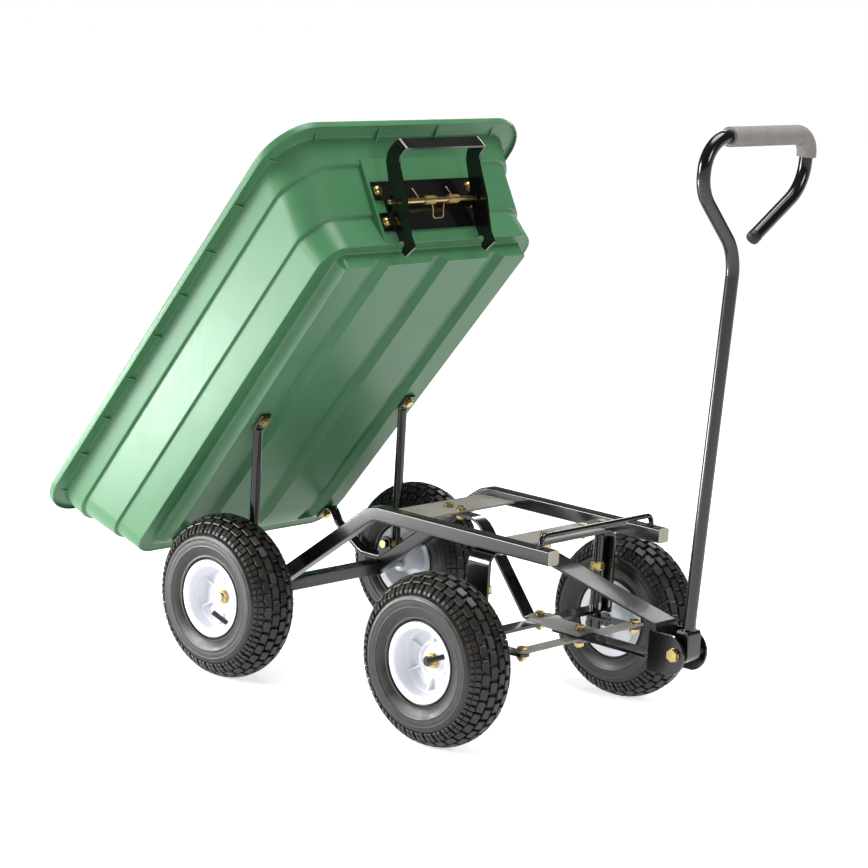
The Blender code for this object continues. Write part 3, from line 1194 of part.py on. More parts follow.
def latch_bail():
    outer = BAIL_INNER_Y + BAIL_THICK
    bar_outline = [(0.6680, 0.4160), (0.6720, 0.4160), (0.6720, 0.4370), (0.6680, 0.4370)]
    bail = add_piece("latch_bail", prism(bar_outline, -outer, outer, "Y"), BLACK_PAINT, "latch_swing")
    join(bail, prism(bail_outline(), BAIL_INNER_Y, outer, "Y"), prism(bail_outline(), -outer, -BAIL_INNER_Y, "Y"))
    cut(bail, bar(LATCH_ROD_RADIUS + RUNNING_GAP, -2 * outer, 2 * outer, "Y", (LATCH_PIVOT[0], 0, LATCH_PIVOT[1])))


def spring_points(pivot):
    # coil, loop, coil along the rod, with a leg at each end; (across, up, out) of the panel
    points = []
    leg_start = SPRING_START_Y
    seat = GAP + LATCH_PLATE_THICK + GAP + SPRING_WIRE_RADIUS
    points.append((leg_start, pivot.y + SPRING_LEG_LENGTH, seat))
    points.append((leg_start, pivot.y + SPRING_LEG_LENGTH / 2, (seat + pivot.z - SPRING_COIL_RADIUS) / 2))
    run = SPRING_TURNS * SPRING_PITCH

    def coil(start):
        total = SPRING_TURNS * SPRING_POINTS_PER_TURN
        for k in range(total + 1):
            angle = math.radians(-90) - math.tau * k / SPRING_POINTS_PER_TURN
            points.append(
                (
                    start + run * k / total,
                    pivot.y + SPRING_COIL_RADIUS * math.cos(angle),
                    pivot.z + SPRING_COIL_RADIUS * math.sin(angle),
                )
            )

    coil(leg_start)
    inner = leg_start + run
    far = inner + SPRING_LOOP_WIDTH
    foot = pivot.y - SPRING_LOOP_LENGTH
    lift = pivot.z - SPRING_COIL_RADIUS
    inset = 0.003
    for u, v, share in (
        (inner + inset, pivot.y - SPRING_LOOP_LENGTH / 2, 0.5), (inner + inset, foot + inset, 0.1),
        (inner + 2 * inset, foot, 0), (far - 2 * inset, foot, 0),
        (far - inset, foot + inset, 0.1), (far - inset, pivot.y - SPRING_LOOP_LENGTH / 2, 0.5),
    ):
        points.append((u, v, seat + (lift - seat) * share))
    coil(far)
    points.append((far + run, pivot.y + SPRING_LEG_LENGTH / 2, (seat + lift) / 2))
    points.append((far + run, pivot.y + SPRING_LEG_LENGTH, seat))
    return points


def least_gap(points, near):
    least = math.inf
    for k, one in enumerate(points):
        for other in points[k + near:]:
            least = min(least, (one - other).length)
    return least


def latch_spring(frame, pivot):
    here = bodies["tub_swing"][1]
    points = [frame @ Vector(point) for point in spring_points(pivot)]
    gap = least_gap(points, SPRING_POINTS_PER_TURN // 2 + 1) - 2 * SPRING_WIRE_RADIUS
    print(f"latch spring: least gap between curls {gap * 1000:.2f} mm")
    wire = bpy.data.curves.new("latch_spring", "CURVE")
    wire.dimensions = "3D"
    wire.bevel_depth = SPRING_WIRE_RADIUS
    wire.bevel_resolution = 1
    wire.use_fill_caps = True
    spline = wire.splines.new("POLY")
    spline.points.add(len(points) - 1)
    for slot, point in zip(spline.points, points):
        slot.co = (*(point - here), 1)
    wire.materials.append(YELLOW_ZINC)
    spring = bpy.data.objects.new("latch_spring", wire)
    bpy.context.scene.collection.objects.link(spring)
    spring.parent = bodies["tub_swing"][0]


frame_rails()
rear_axle()
cross_plates()
front_arch()
centre_brace()
striker_rod()
kingpins_and_knuckles()
tie_rods()
drawbar()
handle()
wheels()
tub()
tub_supports()
latch()
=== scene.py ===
import math

import bpy
from mathutils import Matrix, Vector


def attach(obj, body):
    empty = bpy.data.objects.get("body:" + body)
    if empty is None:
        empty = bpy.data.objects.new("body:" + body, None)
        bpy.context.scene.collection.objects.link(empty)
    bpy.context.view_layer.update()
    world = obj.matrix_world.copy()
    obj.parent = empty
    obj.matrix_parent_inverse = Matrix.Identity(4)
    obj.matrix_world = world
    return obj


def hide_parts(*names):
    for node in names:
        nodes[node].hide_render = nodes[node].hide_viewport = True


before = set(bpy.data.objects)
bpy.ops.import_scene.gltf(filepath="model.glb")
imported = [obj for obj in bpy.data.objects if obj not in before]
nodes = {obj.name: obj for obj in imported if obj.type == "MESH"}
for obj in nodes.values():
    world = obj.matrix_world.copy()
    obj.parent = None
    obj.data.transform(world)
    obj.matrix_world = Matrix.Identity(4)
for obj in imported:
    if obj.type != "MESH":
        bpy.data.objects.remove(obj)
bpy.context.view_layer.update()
print("frame loaded,", len(nodes), "nodes")

# main places in metres; the lists below count x from the rear axle
rearAxle = -0.1961
frontAxle = rearAxle + 0.450
steerX = rearAxle + 0.4585
eyeX = steerX + 0.080
handleX = rearAxle + 0.7377
handleZ = 0.171
axleZ = 0.130
halfTrack = 0.220
kingpinY = 0.132
tipPoint = Vector((rearAxle - 0.003, 0, 0.165))
tipAngle = math.radians(52.2)
tipTurn = Matrix.Translation(tipPoint) @ Matrix.Rotation(-tipAngle, 4, "Y") @ Matrix.Translation(-tipPoint)
sides = (("Right", "right", -1), ("Left", "left", 1))


# small tools
def activate(obj):
    bpy.ops.object.select_all(action="DESELECT")
    obj.select_set(True)
    bpy.context.view_layer.objects.active = obj


def cleanUp(obj, distance=0.00001):
    activate(obj)
    bpy.ops.object.mode_set(mode="EDIT")
    bpy.ops.mesh.select_all(action="SELECT")
    bpy.ops.mesh.remove_doubles(threshold=distance)
    bpy.ops.mesh.normals_make_consistent(inside=False)
    bpy.ops.object.mode_set(mode="OBJECT")
    return obj


def addModifier(obj, kind, **settings):
    modifier = obj.modifiers.new(kind.lower(), kind)
    for key, value in settings.items():
        setattr(modifier, key, value)
    activate(obj)
    bpy.ops.object.modifier_apply(modifier=modifier.name)
    return obj


def softEdges(obj, width, segments=2, limit=35):
    return addModifier(
        obj, "BEVEL", width=width, segments=segments, limit_method="ANGLE", angle_limit=math.radians(limit)
    )


def shade(obj, angle=50):
    activate(obj)
    bpy.ops.object.shade_smooth_by_angle(angle=math.radians(angle))
    return addModifier(obj, "WEIGHTED_NORMAL", keep_sharp=True)


def moveBy(obj, matrix):
    obj.matrix_world = matrix @ obj.matrix_world
    activate(obj)
    bpy.ops.object.transform_apply(location=True, rotation=True, scale=True)
    return obj


def joinAll(objects, name):
    activate(objects[0])
    for obj in objects:
        obj.select_set(True)
    bpy.ops.object.join()
    objects[0].name = name
    objects[0].data.name = name
    return objects[0]


def polyCurve(name, points, closed=False):
    curve = bpy.data.curves.new(name, "CURVE")
    curve.dimensions = "3D"
    spline = curve.splines.new("POLY")
    spline.points.add(len(points) - 1)
    for slot, point in zip(spline.points, points):
        slot.co = (*point, 1)
    spline.use_cyclic_u = closed
    obj = bpy.data.objects.new(name, curve)
    bpy.context.collection.objects.link(obj)
    return obj


def toMesh(obj):
    activate(obj)
    bpy.ops.object.convert(target="MESH")
    return bpy.context.active_object


def tube(name, points, radius, roundness=8):
    obj = polyCurve(name, points)
    obj.data.bevel_depth = radius
    obj.data.bevel_resolution = roundness
    obj.data.use_fill_caps = True
    return cleanUp(toMesh(obj))


def turned(name, profile, steps=48, axis="Z", closed=False):
    # profile holds (radius, place along the axis)
    obj = toMesh(polyCurve(name, [(radius, 0, along) for radius, along in profile], closed))
    addModifier(
        obj, "SCREW", steps=steps, render_steps=steps, use_merge_vertices=True, merge_threshold=0.00001
    )
    cleanUp(obj)
    if axis == "Y":
        moveBy(obj, Matrix.Rotation(math.radians(-90), 4, "X"))
    return obj


def slab(name, outline, low, high, axis="Z"):
    bpy.ops.mesh.primitive_circle_add(vertices=len(outline), radius=1, fill_type="NGON")
    obj = bpy.context.active_object
    obj.name = name
    for vertex, (u, v) in zip(obj.data.vertices, outline):
        vertex.co = {"X": (low, u, v), "Y": (u, low, v), "Z": (u, v, low)}[axis]
    rise = high - low
    step = {"X": (rise, 0, 0), "Y": (0, rise, 0), "Z": (0, 0, rise)}[axis]
    bpy.ops.object.mode_set(mode="EDIT")
    bpy.ops.mesh.select_all(action="SELECT")
    bpy.ops.mesh.extrude_region_move(TRANSFORM_OT_translate={"value": step})
    bpy.ops.object.mode_set(mode="OBJECT")
    return cleanUp(obj)


def rounded(points, radii, steps=10):
    # straight runs whose inner corners become arcs
    points = [Vector(point) for point in points]
    path = [points[0]]
    for before, corner, after, radius in zip(points, points[1:], points[2:], radii):
        back = (before - corner).normalized()
        ahead = (after - corner).normalized()
        half = back.angle(ahead) / 2
        middle = corner + (back + ahead).normalized() * (radius / math.sin(half))
        first = corner + back * (radius / math.tan(half)) - middle
        last = corner + ahead * (radius / math.tan(half)) - middle
        sweep = first.angle(last)
        for step in range(steps + 1):
            share = step / steps
            turn = math.sin(sweep * (1 - share)) * first + math.sin(sweep * share) * last
            path.append(middle + turn / math.sin(sweep))
    path.append(points[-1])
    return path


def copyOf(node, name):
    obj = bpy.data.objects.new(name, nodes[node].data.copy())
    bpy.context.collection.objects.link(obj)
    activate(obj)
    bpy.ops.object.mode_set(mode="EDIT")
    bpy.ops.mesh.customdata_custom_splitnormals_clear()
    bpy.ops.mesh.select_all(action="SELECT")
    bpy.ops.mesh.remove_doubles(threshold=0.00002)
    bpy.ops.mesh.dissolve_limited(angle_limit=math.radians(1.5))
    bpy.ops.mesh.normals_make_consistent(inside=False)
    bpy.ops.object.mode_set(mode="OBJECT")
    return obj


def copyTo(model, name, matrix):
    obj = bpy.data.objects.new(name, model.data.copy())
    bpy.context.collection.objects.link(obj)
    return moveBy(obj, matrix)


def aroundAxle(obj, count):
    bpy.ops.object.empty_add(rotation=(0, math.tau / count, 0))
    step = bpy.context.active_object
    addModifier(
        obj, "ARRAY", count=count, use_relative_offset=False, use_object_offset=True, offset_object=step
    )
    bpy.data.objects.remove(step)
    return obj


def place(obj, body, slot, material, *standsFor):
    if material:
        obj.data.materials.clear()
        obj.data.materials.append(material)
    if standsFor:
        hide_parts(*standsFor)
    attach(obj, body)
    return obj


# camera at the photo's viewing angle
bpy.ops.object.camera_add()
camera = bpy.context.active_object
camera.matrix_world = Matrix((
    (0.731987, -0.169055, 0.660013, 2.805907),
    (0.678924, 0.099802, -0.727395, -3.065793),
    (0.057099, 0.980541, 0.187828, 1.196198),
    (0, 0, 0, 1),
))
camera.data.sensor_width = 36
camera.data.lens = 111.955
bpy.context.scene.camera = camera
bpy.context.scene.view_settings.view_transform = "Standard"


# materials
def fromHex(code):
    channels = [int(code[k:k + 2], 16) / 255 for k in (0, 2, 4)]
    linear = [c / 12.92 if c <= 0.04045 else ((c + 0.055) / 1.055) ** 2.4 for c in channels]
    return (*linear, 1.0)


def newTree(name):
    material = bpy.data.materials.new(name)
    material.use_nodes = True
    tree = material.node_tree
    tree.nodes.clear()
    return material, tree


def node(tree, kind, inputs=None, **settings):
    made = tree.nodes.new(kind)
    for key, value in settings.items():
        setattr(made, key, value)
    for key, value in (inputs or {}).items():
        if isinstance(value, bpy.types.NodeSocket):
            tree.links.new(value, made.inputs[key])
        else:
            made.inputs[key].default_value = value
    return made


def noise(tree, where, size, detail=3.0, stretch=None):
    # size is the pattern's real size in metres
    if stretch:
        where = node(tree, "ShaderNodeMapping", {"Vector": where, "Scale": stretch}).outputs["Vector"]
    made = node(tree, "ShaderNodeTexNoise", {"Vector": where, "Scale": 1 / size, "Detail": detail})
    return made.outputs["Fac"]


def ranged(tree, value, low, high, fromLow=0.3, fromHigh=0.7):
    made = node(
        tree, "ShaderNodeMapRange",
        {"Value": value, "From Min": fromLow, "From Max": fromHigh, "To Min": low, "To Max": high},
    )
    return made.outputs["Result"]


def blended(tree, share, first, second):
    made = node(tree, "ShaderNodeMix", data_type="RGBA")
    tree.links.new(share, made.inputs["Factor"])
    for key, value in ((6, first), (7, second)):
        if isinstance(value, bpy.types.NodeSocket):
            tree.links.new(value, made.inputs[key])
        else:
            made.inputs[key].default_value = value
    return made.outputs[2]


def bumped(tree, height, distance, strength=1.0, before=None):
    inputs = {"Height": height, "Distance": distance, "Strength": strength}
    if before is not None:
        inputs["Normal"] = before
    return node(tree, "ShaderNodeBump", inputs).outputs["Normal"]


def output(tree, **inputs):
    named = {key.replace("_", " "): value for key, value in inputs.items()}
    shader = node(tree, "ShaderNodeBsdfPrincipled", named)
    node(tree, "ShaderNodeOutputMaterial", {"Surface": shader.outputs["BSDF"]})


def mouldedPlastic(name, colour, pale, roughness, grain=0.0007, depth=0.00003):
    material, tree = newTree(name)
    where = node(tree, "ShaderNodeTexCoord").outputs["Object"]
    clouds = noise(tree, where, 0.09)
    grained = noise(tree, where, grain, 2.0)
    scuffs = noise(tree, where, 0.006, 4.0, (1, 1, 0.15))
    mottled = blended(tree, ranged(tree, clouds, 0.0, 0.45), fromHex(colour), fromHex(pale))
    scuffed = blended(tree, ranged(tree, scuffs, 0.0, 0.06, 0.55, 0.9), mottled, fromHex(pale))
    output(
        tree, Base_Color=scuffed, Roughness=ranged(tree, scuffs, roughness - 0.02, roughness + 0.03),
        Normal=bumped(tree, grained, depth, 0.6, bumped(tree, clouds, 0.0004, 0.25)), IOR=1.49,
    )
    return material


def coatedSteel(name, colour, pale, roughness, peel=0.0035, coat=0.3):
    material, tree = newTree(name)
    where = node(tree, "ShaderNodeTexCoord").outputs["Object"]
    clouds = noise(tree, where, 0.05)
    orangePeel = noise(tree, where, peel, 2.0)
    mottled = blended(tree, ranged(tree, clouds, 0.0, 1.0), fromHex(colour), fromHex(pale))
    output(
        tree, Base_Color=mottled, Roughness=ranged(tree, clouds, roughness - 0.03, roughness + 0.05),
        Normal=bumped(tree, orangePeel, 0.00008, 0.3), Coat_Weight=coat, Coat_Roughness=0.08, IOR=1.5,
    )
    return material


def platedSteel(name, colour, shifted, roughness, scratch=0.0006):
    material, tree = newTree(name)
    where = node(tree, "ShaderNodeTexCoord").outputs["Object"]
    clouds = noise(tree, where, 0.006)
    fine = noise(tree, where, scratch, 2.0, (1, 0.2, 1))
    tint = blended(tree, ranged(tree, clouds, 0.0, 1.0), fromHex(colour), fromHex(shifted))
    output(
        tree, Base_Color=tint, Metallic=1.0, Roughness=ranged(tree, fine, roughness - 0.06, roughness + 0.1),
        Normal=bumped(tree, fine, 0.00002, 0.4),
    )
    return material


def rubber(name, colour, dusty, roughness, grain=0.0009):
    material, tree = newTree(name)
    where = node(tree, "ShaderNodeTexCoord").outputs["Object"]
    clouds = noise(tree, where, 0.02, 5.0)
    grained = noise(tree, where, grain, 3.0)
    bloom = blended(tree, ranged(tree, clouds, 0.0, 1.0, 0.35, 0.75), fromHex(colour), fromHex(dusty))
    output(
        tree, Base_Color=bloom, Roughness=ranged(tree, clouds, roughness - 0.08, roughness + 0.08),
        Normal=bumped(tree, grained, 0.00006, 0.6), IOR=1.52,
    )
    return material


def foam(name, colour, pale):
    material, tree = newTree(name)
    where = node(tree, "ShaderNodeTexCoord").outputs["Object"]
    pores = node(tree, "ShaderNodeTexVoronoi", {"Vector": where, "Scale": 1 / 0.0011}).outputs["Distance"]
    clouds = noise(tree, where, 0.012, 4.0)
    tint = blended(tree, ranged(tree, clouds, 0.0, 1.0), fromHex(colour), fromHex(pale))
    # the pores are painted darker toward 3c3b3a: painted shade in the foam's pits, where the bump makes
    # hollows
    poreShadedTint = blended(tree, ranged(tree, pores, 0.35, 0.0, 0.0, 0.5), tint, fromHex("3c3b3a"))
    output(tree, Base_Color=poreShadedTint, Roughness=0.85, Normal=bumped(tree, pores, 0.00025, 0.7), IOR=1.45)
    return material


greenPlastic = mouldedPlastic("green polypropylene", "42764f", "4f855c", 0.36)
whitePlastic = mouldedPlastic("white polypropylene", "e6e8ef", "eef0f4", 0.38, 0.0012, 0.00001)
capPlastic = mouldedPlastic("grey polyethylene", "a9a795", "b4b2a2", 0.5)
blackPlastic = mouldedPlastic("black polyethylene", "141414", "1f1f1f", 0.45)
blackPaint = coatedSteel("black gloss paint", "090909", "100f0f", 0.18, 0.0035, 0.35)
greyPaint = coatedSteel("grey satin paint", "7a7872", "88857d", 0.44, 0.002, 0.1)
charcoalPaint = coatedSteel("charcoal satin paint", "191818", "232221", 0.42, 0.003, 0.08)
yellowZinc = platedSteel("yellow zinc plate", "d6bb74", "c4ad7e", 0.24)
brightSteel = platedSteel("bright drawn steel", "b9b8b4", "a8a6a1", 0.28)
treadRubber = rubber("tyre tread rubber", "0f0d0a", "28221b", 0.42)
wallRubber = rubber("tyre sidewall rubber", "1b1815", "2c2722", 0.4)
tubeRubber = rubber("inner tube rubber", "171717", "222121", 0.5)
gripFoam = foam("grey grip foam", "85817e", "918d89")
print("materials made")


# studio
studio = {
    "floor": 30, "paper": 0.9, "seen": 0.65, "mirrored": 0.42, "soft": 0.42, "dim": 0.10, "white": 1.0,
    "aim": Vector((0, 0, 0.45)),
    "lamps": (
        ("keyLight", (-1.7, -2.4, 1.1), 1.1, 80), ("topLight", (0.3, 0.2, 3.0), 1.8, 60),
        ("fillLight", (3.0, -0.4, 1.6), 0.9, 20), ("backLight", (-1.2, 2.8, 1.9), 1.0, 21),
        ("lowLight", (-1.2, -1.15, 0.14), 0.4, 13),
    ),
}


def times(tree, value, factor):
    return node(tree, "ShaderNodeMath", {0: value, 1: factor}, operation="MULTIPLY").outputs[0]


def buildFloor():
    # the floor glows for the camera and less in reflections, and keeps its shadows
    bpy.ops.mesh.primitive_plane_add(size=studio["floor"], location=(0, 0, 0))
    floor = bpy.context.active_object
    floor.name = "floor"
    material, tree = newTree("studio floor")
    rays = node(tree, "ShaderNodeLightPath").outputs
    mirrored = times(tree, rays["Is Glossy Ray"], studio["mirrored"])
    seen = times(tree, rays["Is Camera Ray"], studio["seen"])
    strength = node(tree, "ShaderNodeMath", {0: seen, 1: mirrored}, operation="MAXIMUM").outputs[0]
    paper = node(tree, "ShaderNodeBsdfDiffuse", {"Color": (studio["paper"],) * 3 + (1,)})
    glow = node(tree, "ShaderNodeEmission", {"Color": (1, 1, 1, 1), "Strength": strength})
    both = node(tree, "ShaderNodeAddShader", {0: paper.outputs[0], 1: glow.outputs[0]})
    node(tree, "ShaderNodeOutputMaterial", {"Surface": both.outputs[0]})
    floor.data.materials.append(material)


def buildWorld():
    world = bpy.data.worlds.new("studio")
    bpy.context.scene.world = world
    world.use_nodes = True
    tree = world.node_tree
    tree.nodes.clear()
    rays = node(tree, "ShaderNodeLightPath").outputs
    soft, dim, white = [
        node(tree, "ShaderNodeBackground", {"Color": (1, 1, 1, 1), "Strength": studio[key]}).outputs[0]
        for key in ("soft", "dim", "white")
    ]
    unseen = node(tree, "ShaderNodeMixShader", {0: rays["Is Glossy Ray"], 1: soft, 2: dim}).outputs[0]
    mixed = node(tree, "ShaderNodeMixShader", {0: rays["Is Camera Ray"], 1: unseen, 2: white}).outputs[0]
    node(tree, "ShaderNodeOutputWorld", {"Surface": mixed})


def buildLamps():
    for name, spot, size, power in studio["lamps"]:
        bpy.ops.object.light_add(type="AREA", location=spot)
        lamp = bpy.context.active_object
        lamp.name = name
        lamp.data.shape = "DISK"
        lamp.data.size = size
        lamp.data.energy = power
        lamp.visible_camera = False
        lamp.rotation_euler = (studio["aim"] - Vector(spot)).to_track_quat("-Z", "Y").to_euler()


buildFloor()
buildWorld()
buildLamps()
print("studio made")

# frame: rails, beam, plates, arch and bars
rail = {
    "size": 0.022, "wall": 0.0018, "corner": 0.0026, "z": 0.297, "y": 0.129, "front": 0.5832, "bend": 0.045,
    "leg": math.radians(36.5), "tail": 0.014,
}
ear = {
    "radius": 0.013, "inner": 0.1395, "outer": 0.144,
    "foot": ((-0.015, 0.120), (-0.008, 0.116), (0.008, 0.1255), (0.021, 0.142)),
}


def squareTube(name, path, size, corner, wall):
    half = size / 2 - corner
    outline = []
    for k, (u, v) in enumerate(((half, half), (-half, half), (-half, -half), (half, -half))):
        for step in range(5):
            angle = math.radians(90 * k + 22.5 * step)
            outline.append((u + corner * math.cos(angle), v + corner * math.sin(angle), 0))
    section = polyCurve("section", outline, True)
    bar = polyCurve(name, path)
    bar.data.bevel_mode = "OBJECT"
    bar.data.bevel_object = section
    bar = toMesh(bar)
    bpy.data.objects.remove(section)
    return addModifier(cleanUp(bar), "SOLIDIFY", thickness=wall, offset=-1)


def buildRails():
    slope, high = rail["leg"], rail["z"]
    bendX = rearAxle + (high - axleZ) / math.tan(slope)
    footX = rearAxle - math.cos(slope) * rail["tail"]
    footZ = axleZ - math.sin(slope) * rail["tail"]
    for title, lower, side in sides:
        y = side * rail["y"]
        corners = [(rearAxle + rail["front"], y, high), (bendX, y, high), (footX, y, footZ)]
        path = rounded(corners, [rail["bend"]])
        bar = squareTube("rail" + title, path, rail["size"], rail["corner"], rail["wall"])
        joinAll([bar, pivotEar(side)], "rail" + title)
        place(shade(bar), "root", "black_paint", blackPaint, "frame_rail_" + lower)
        cap = softEdges(copyOf("rail_cap_" + lower, "railCap" + title), 0.0005)
        place(shade(cap), "root", "grey_plastic", capPlastic, "rail_cap_" + lower)


def pivotEar(side):
    # the plate on the rail's outer face that carries the tub's pivot
    outline = []
    for k in range(17):
        angle = math.radians(-10 + 200 * k / 16)
        x = tipPoint.x + ear["radius"] * math.cos(angle)
        outline.append((x, tipPoint.z + ear["radius"] * math.sin(angle)))
    outline += [(rearAxle + x, z) for x, z in ear["foot"]]
    low, high = sorted((side * ear["inner"], side * ear["outer"]))
    return softEdges(slab("ear", outline, low, high, "Y"), 0.0005)


def buildFlatParts():
    for source, name, slot, material, width in (
        ("rear_axle_beam", "rearBeam", "black_paint", blackPaint, 0.0),
        ("middle_cross_plate", "middlePlate", "grey_paint", greyPaint, 0.0007),
        ("front_cross_plate", "frontPlate", "grey_paint", greyPaint, 0.0007),
        ("front_arch", "arch", "black_paint", blackPaint, 0.0009),
        ("lower_axle_bar", "lowerBar", "black_paint", blackPaint, 0.0008),
        ("centre_brace", "brace", "black_paint", blackPaint, 0.0007),
    ):
        obj = copyOf(source, name)
        if width:
            softEdges(obj, width)
        place(shade(obj), "root", slot, material, source)


striker = {
    "x": rearAxle + 0.5585, "z": 0.3245, "radius": 0.004, "legs": 0.129, "legEnd": 0.2975, "bend": 0.012,
    "collar": [(0, 0.3081), (0.0072, 0.3081), (0.0072, 0.3096), (0.0064, 0.3102), (0, 0.3102)],
}


def buildStriker():
    x, y, top, low = striker["x"], striker["legs"], striker["z"], striker["legEnd"]
    path = rounded([(x, -y, low), (x, -y, top), (x, y, top), (x, y, low)], [striker["bend"]] * 2)
    place(shade(tube("striker", path, striker["radius"])), "root", "black_paint", blackPaint, "striker_rod")
    for title, lower, side in sides:
        collar = turned("strikerCollar" + title, striker["collar"], 32)
        moveBy(collar, Matrix.Translation((x, side * y, 0)))
        place(shade(collar), "root", "black_paint", blackPaint)


buildRails()
buildFlatParts()
buildStriker()
print("frame made")


# bolts, nuts and pins: a list of (kind, radius, low, high) along the axis
def fastener(name, spot, axis, parts, body, material, slot, *standsFor):
    made = []
    for k, (kind, radius, low, high) in enumerate(parts):
        low, high = min(low, high), max(low, high)
        count = 6 if kind == "hex" else 32
        grow = 1 / math.cos(math.pi / 6) if kind == "hex" else 1
        bpy.ops.mesh.primitive_cylinder_add(vertices=count, radius=radius * grow, depth=high - low)
        obj = bpy.context.active_object
        moveBy(obj, Matrix.Translation((0, 0, (low + high) / 2)))
        softEdges(obj, 0.0006 if kind == "hex" else 0.0003, 2, 40)
        if kind == "thread":
            cutThread(obj, radius, low, high)
        made.append(obj)
    bolt = joinAll(made, name) if len(made) > 1 else made[0]
    bolt.name = name
    turn = Matrix.Rotation(math.radians(-90), 4, "X") if axis == "Y" else Matrix.Identity(4)
    moveBy(bolt, Matrix.Translation(spot) @ turn)
    if body == "tub":
        moveBy(bolt, tipTurn)
    return place(shade(bolt, 40), body, slot, material, *standsFor)


def cutThread(obj, radius, low, high):
    count = max(3, int((high - low) / 0.001))
    activate(obj)
    bpy.ops.object.mode_set(mode="EDIT")
    for k in range(1, count):
        bpy.ops.mesh.select_all(action="SELECT")
        bpy.ops.mesh.bisect(plane_co=(0, 0, low + (high - low) * k / count), plane_no=(0, 0, 1))
    bpy.ops.object.mode_set(mode="OBJECT")
    for vertex in obj.data.vertices:
        step = round((vertex.co.z - low) / (high - low) * count)
        if step % 2 and vertex.co.xy.length > radius * 0.9 and low < vertex.co.z < high:
            vertex.co.xy *= 0.93


zinc = (yellowZinc, "yellow_zinc")


def buildFrameBolts():
    for k, (x, nodeNames) in enumerate(((0.2606, ()), (0.2863, ("brace_bolt",)))):
        fastener(
            f"braceBolt{k + 1}", (rearAxle + x, 0, 0), "Z",
            [("hex", 0.0062, 0.2976, 0.3020), ("round", 0.0085, 0.2963, 0.2976),
             ("thread", 0.0042, 0.2810, 0.2870), ("hex", 0.0065, 0.2832, 0.2882),
             ("round", 0.0042, 0.2860, 0.2990)],
            "root", *zinc, *nodeNames,
        )
    for k, y in enumerate((-0.095, 0.095)):
        fastener(
            f"frontPlateBolt{k + 1}", (rearAxle + 0.4545, y, 0), "Z",
            [("hex", 0.0062, 0.2905, 0.2948), ("round", 0.0085, 0.2891, 0.2905),
             ("hex", 0.0065, 0.2752, 0.2804), ("thread", 0.0040, 0.2715, 0.2752)],
            "root", *zinc,
        )


def buildDrawbarBolts():
    fastener(
        "drawbarTopBolt", (steerX, 0, 0), "Z",
        [("hex", 0.0065, 0.2908, 0.2948), ("round", 0.0085, 0.2895, 0.2908),
         ("round", 0.0042, 0.2577, 0.2900), ("round", 0.0098, 0.2625, 0.2802),
         ("hex", 0.0065, 0.2522, 0.2577), ("thread", 0.0040, 0.2490, 0.2522)],
        "root", *zinc, "drawbar_top_bolt",
    )
    fastener(
        "drawbarFootBolt", (steerX, 0, 0), "Z",
        [("hex", 0.0065, 0.1670, 0.1712), ("round", 0.0085, 0.1657, 0.1670),
         ("round", 0.0042, 0.1500, 0.1660), ("hex", 0.0065, 0.1453, 0.1505),
         ("thread", 0.0040, 0.1425, 0.1453)],
        "root", *zinc, "drawbar_foot_bolt",
    )
    fastener(
        "steeringBolt", (eyeX, 0, 0), "Z",
        [("hex", 0.0065, 0.1632, 0.1672), ("round", 0.0085, 0.1617, 0.1632),
         ("round", 0.0042, 0.1400, 0.1620), ("hex", 0.0065, 0.1350, 0.1404),
         ("thread", 0.0040, 0.1325, 0.1350)],
        "drawbar", *zinc, "steering_bolt",
    )


def buildKnuckleBolts(title, lower, side):
    y = side * kingpinY
    fastener(
        "tieRodBolt" + title, (eyeX, y, 0), "Z",
        [("hex", 0.0065, 0.1509, 0.1550), ("round", 0.0085, 0.1498, 0.1509),
         ("round", 0.0042, 0.1400, 0.1500), ("hex", 0.0065, 0.1358, 0.1408),
         ("thread", 0.0040, 0.1330, 0.1358)],
        "knuckle_" + lower, *zinc, "tie_rod_bolt_" + lower,
    )
    fastener(
        "kingpin" + title, (steerX, y, 0), "Z",
        [("hex", 0.0098, 0.1017, 0.1115), ("round", 0.0060, 0.1100, 0.2200),
         ("round", 0.0080, 0.2280, 0.2745)],
        "root", blackPaint, "black_paint", "kingpin_" + lower,
    )
    fastener(
        "kingpinNut" + title, (steerX, y, 0), "Z",
        [("hex", 0.0100, 0.2205, 0.2300), ("round", 0.0115, 0.2190, 0.2205),
         ("round", 0.0092, 0.2300, 0.2315)],
        "root", *zinc,
    )


def buildTubBolts(title, lower, side):
    fastener(
        "tubPivotBolt" + title, (tipPoint.x, 0, tipPoint.z), "Y",
        [("hex", 0.0066, side * 0.1337, side * 0.1388), ("round", 0.0050, side * 0.1388, side * 0.1775),
         ("round", 0.0079, side * 0.1446, side * 0.1564), ("round", 0.0085, side * 0.1735, side * 0.1747),
         ("hex", 0.0066, side * 0.1747, side * 0.1780)],
        "root", *zinc, "tub_pivot_bolt_" + lower,
    )
    washer, head = 0.0013, 0.0039
    for end, x, low, high in (("Front", 0.1933, 0.3025, 0.3134), ("Rear", -0.092, 0.3050, 0.3192)):
        under, over = low - washer, high + washer
        fastener(
            "supportBolt" + end + title, (rearAxle + x, side * 0.165, 0), "Z",
            [("hex", 0.0064, under - head, under), ("round", 0.0085, under, low),
             ("round", 0.0041, low, high), ("round", 0.0085, high, over), ("hex", 0.0064, over, over + head)],
            "tub", *zinc, f"support_bolt_{end.lower()}_{lower}",
        )


def buildAxleNut(end, x, body, title, lower, side):
    fastener(
        f"axleNut{end.title()}{title}", (x, 0, axleZ), "Y",
        [("round", 0.0124, side * 0.2278, side * 0.2294), ("hex", 0.0098, side * 0.2294, side * 0.2352),
         ("round", 0.0112, side * 0.2294, side * 0.2306), ("thread", 0.0079, side * 0.2350, side * 0.2394)],
        body, *zinc, f"{end}_{lower}_axle_nut",
    )


